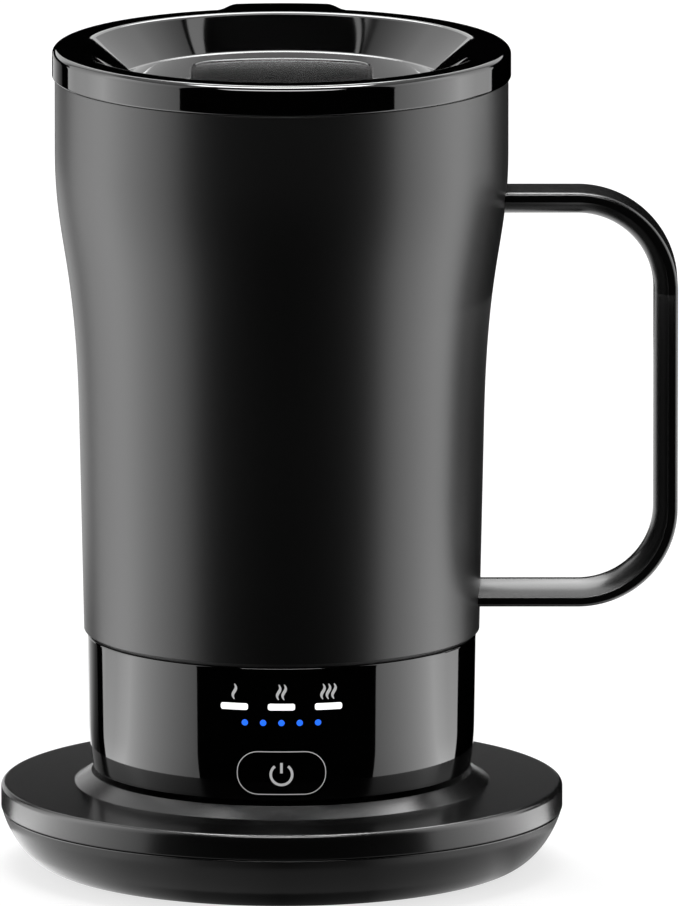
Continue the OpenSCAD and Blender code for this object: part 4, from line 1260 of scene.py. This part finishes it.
# Each stretch is a wing on the floor and a wall behind it
for name, facing_from, facing_to, material, top in [
    ("left_softbox", side_edges[0], front_edges[0], side_cloth, tent_high),
    ("right_softbox", front_edges[1], side_edges[1], side_cloth, tent_high),
    ("front_flag", front_edges[0], front_edges[1], velvet, tent_top),
    ("left_flag", rear_edges[0], side_edges[0], velvet, tent_low),
    ("right_flag", side_edges[1], rear_edges[1], velvet, tent_low),
]:
    tent_wing(name + "_wing", facing_from, facing_to, material)
    tent_wall(name, mirrored(facing_from, tent_r), mirrored(facing_to, tent_r), material, wing_z, top)
tent_wing("left_edge_wing", left_limit, rear_edges[0], edge_cloth)

# Upright cards at the sides and the back: name, two compass angles, material, foot, head and radius
for card in [
    ("left_edge_card", mirrored(left_limit, tent_r), mirrored(rear_edges[0], tent_r), edge_cloth,
     edge_low, tent_low, tent_r),
    ("rear_flag", mirrored(rear_edges[1], tent_r), -160, velvet, 45, tent_low, tent_r),
    ("right_high_flag", 123, 165, velvet, tent_mid, 240, tent_r),
    ("right_body_flag", 107, 123, velvet, wing_z, 88, front_layer),
    ("rear_high_flag", 125, -125, velvet, tent_low, tent_mid, tent_r),
    ("rear_middle_flag", 162, -162, velvet, tent_mid, strip_low, tent_r),
    ("right_upper_softbox", upper_side, upper_rear, upper_cloth, tent_mid, upper_high, back_layer),
    ("left_upper_softbox", -upper_rear, -upper_side, upper_cloth, tent_mid, upper_high, back_layer),
    ("rear_upper_softbox", upper_rear, -upper_rear, rear_cloth, strip_low, upper_high, far_layer),
]:
    tent_wall(*card)
tent_window("rear_strip_light", 10.3, 15.5, window_cloth, window_low, strip_high)

# Level cards: name, range in x, range in y, height and material
for card in [
    ("lid_strip_light", -200, 200, -40, 60, 620, strip_cloth),
    ("front_light", -130, 130, -298, -188, 330, front_cloth),
    ("handle_light", 34, 82, -37, 118, 112, handle_cloth),
]:
    roof_card(*card)

# Cards round the coaster's foot: name, inner and outer radius, glow at the left and at the right
for name, inner, outer, left_stops, right_stops in [
    ("under", 30, 50,
     [(0, 0.05), (21, 0.15), (39, 0.6), (50, 1), (70, 1.6), (94, 1.9), (180, 0.8)],
     [(0, 0.05), (21, 0.1), (38, 0.4), (60, 0.8), (69, 0.45), (94, 0.6), (180, 0.8)]),
    ("bowl", 50, 60,
     [(0, 0.25), (21, 0.4), (39, 0.7), (50, 0.97), (70, 1.2), (94, 1.8), (180, 0.8)],
     [(0, 0.25), (21, 0.27), (38, 0.48), (60, 0.84), (69, 0.45), (94, 0.5), (180, 0.8)]),
    ("seam", 60, 80,
     [(0, 0.05), (20, 0.25), (45, 1.3), (80, 1.3), (104, 0.4), (180, 0.4)],
     [(0, 0.05), (20, 0.15), (45, 1.2), (80, 1.2), (104, 0.25), (180, 0.4)]),
]:
    floor_ring(f"left_{name}_card", -180, 0, inner, outer, left_stops)
    floor_ring(f"right_{name}_card", 0, 180, inner, outer, right_stops)

# Each side of the lid's slanted bowl mirrors a flag, a light strip and a dark bar over the lid's back
for name, x0, x1, flag_y, strip_y, bar_y in [
    ("left_lid", -lid_card_half, 0, 50.8, 52.4, 53.6),
    ("right_lid", 0, lid_card_half, 52, 57.4, 59.4),
]:
    roof_card(name + "_flag", x0, x1, lid_card_front, flag_y, lid_card_z, velvet)
    roof_card(name + "_strip", x0, x1, flag_y, strip_y, lid_card_z, rear_cloth)
    roof_card(name + "_bar", x0, x1, strip_y, bar_y, lid_card_z, velvet)

# One broad soft lamp from above and behind, aimed at the middle of the mug
key_place = Vector((0, 0.23, 1.08))
key_target = Vector((0, 0, 0.08))
key_data = bpy.data.lights.new("key_light", "SUN")
key_data.energy = 1.4
key_data.angle = math.radians(40)
key_light = added("key_light", key_data)
key_light.location = key_place
key_light.rotation_euler = (key_target - key_place).to_track_quat("-Z", "Y").to_euler()

world = bpy.data.worlds.new("studio")
world.use_nodes = True
bpy.context.scene.world = world
tree = world.node_tree
tree.nodes.clear()
ambient = 0.45
strength = add(tree, "ShaderNodeMapRange", {"Value": seen_directly(tree), "To Min": ambient, "To Max": 1.0})
sky = add(tree, "ShaderNodeBackground", {"Color": (1, 1, 1, 1), "Strength": strength.outputs[0]})
add(tree, "ShaderNodeOutputWorld", {"Surface": sky.outputs[0]})


# Camera at the photograph's viewing angle, far off so that lines stay nearly parallel

view_target = Vector((11.1, 0, 80.2)) * MM
view_height = 174 * MM
view_elevation = math.radians(10.75)
view_distance = 6.2
camera_data = bpy.data.cameras.new("camera")
camera_data.sensor_width = 36
camera_data.lens = camera_data.sensor_width * view_distance / view_height
camera = added("camera", camera_data)
towards = Vector((0, math.cos(view_elevation), -math.sin(view_elevation)))
camera.location = view_target - towards * view_distance
camera.rotation_euler = towards.to_track_quat("-Z", "Y").to_euler()
bpy.context.scene.camera = camera
bpy.context.scene.view_settings.view_transform = "Standard"
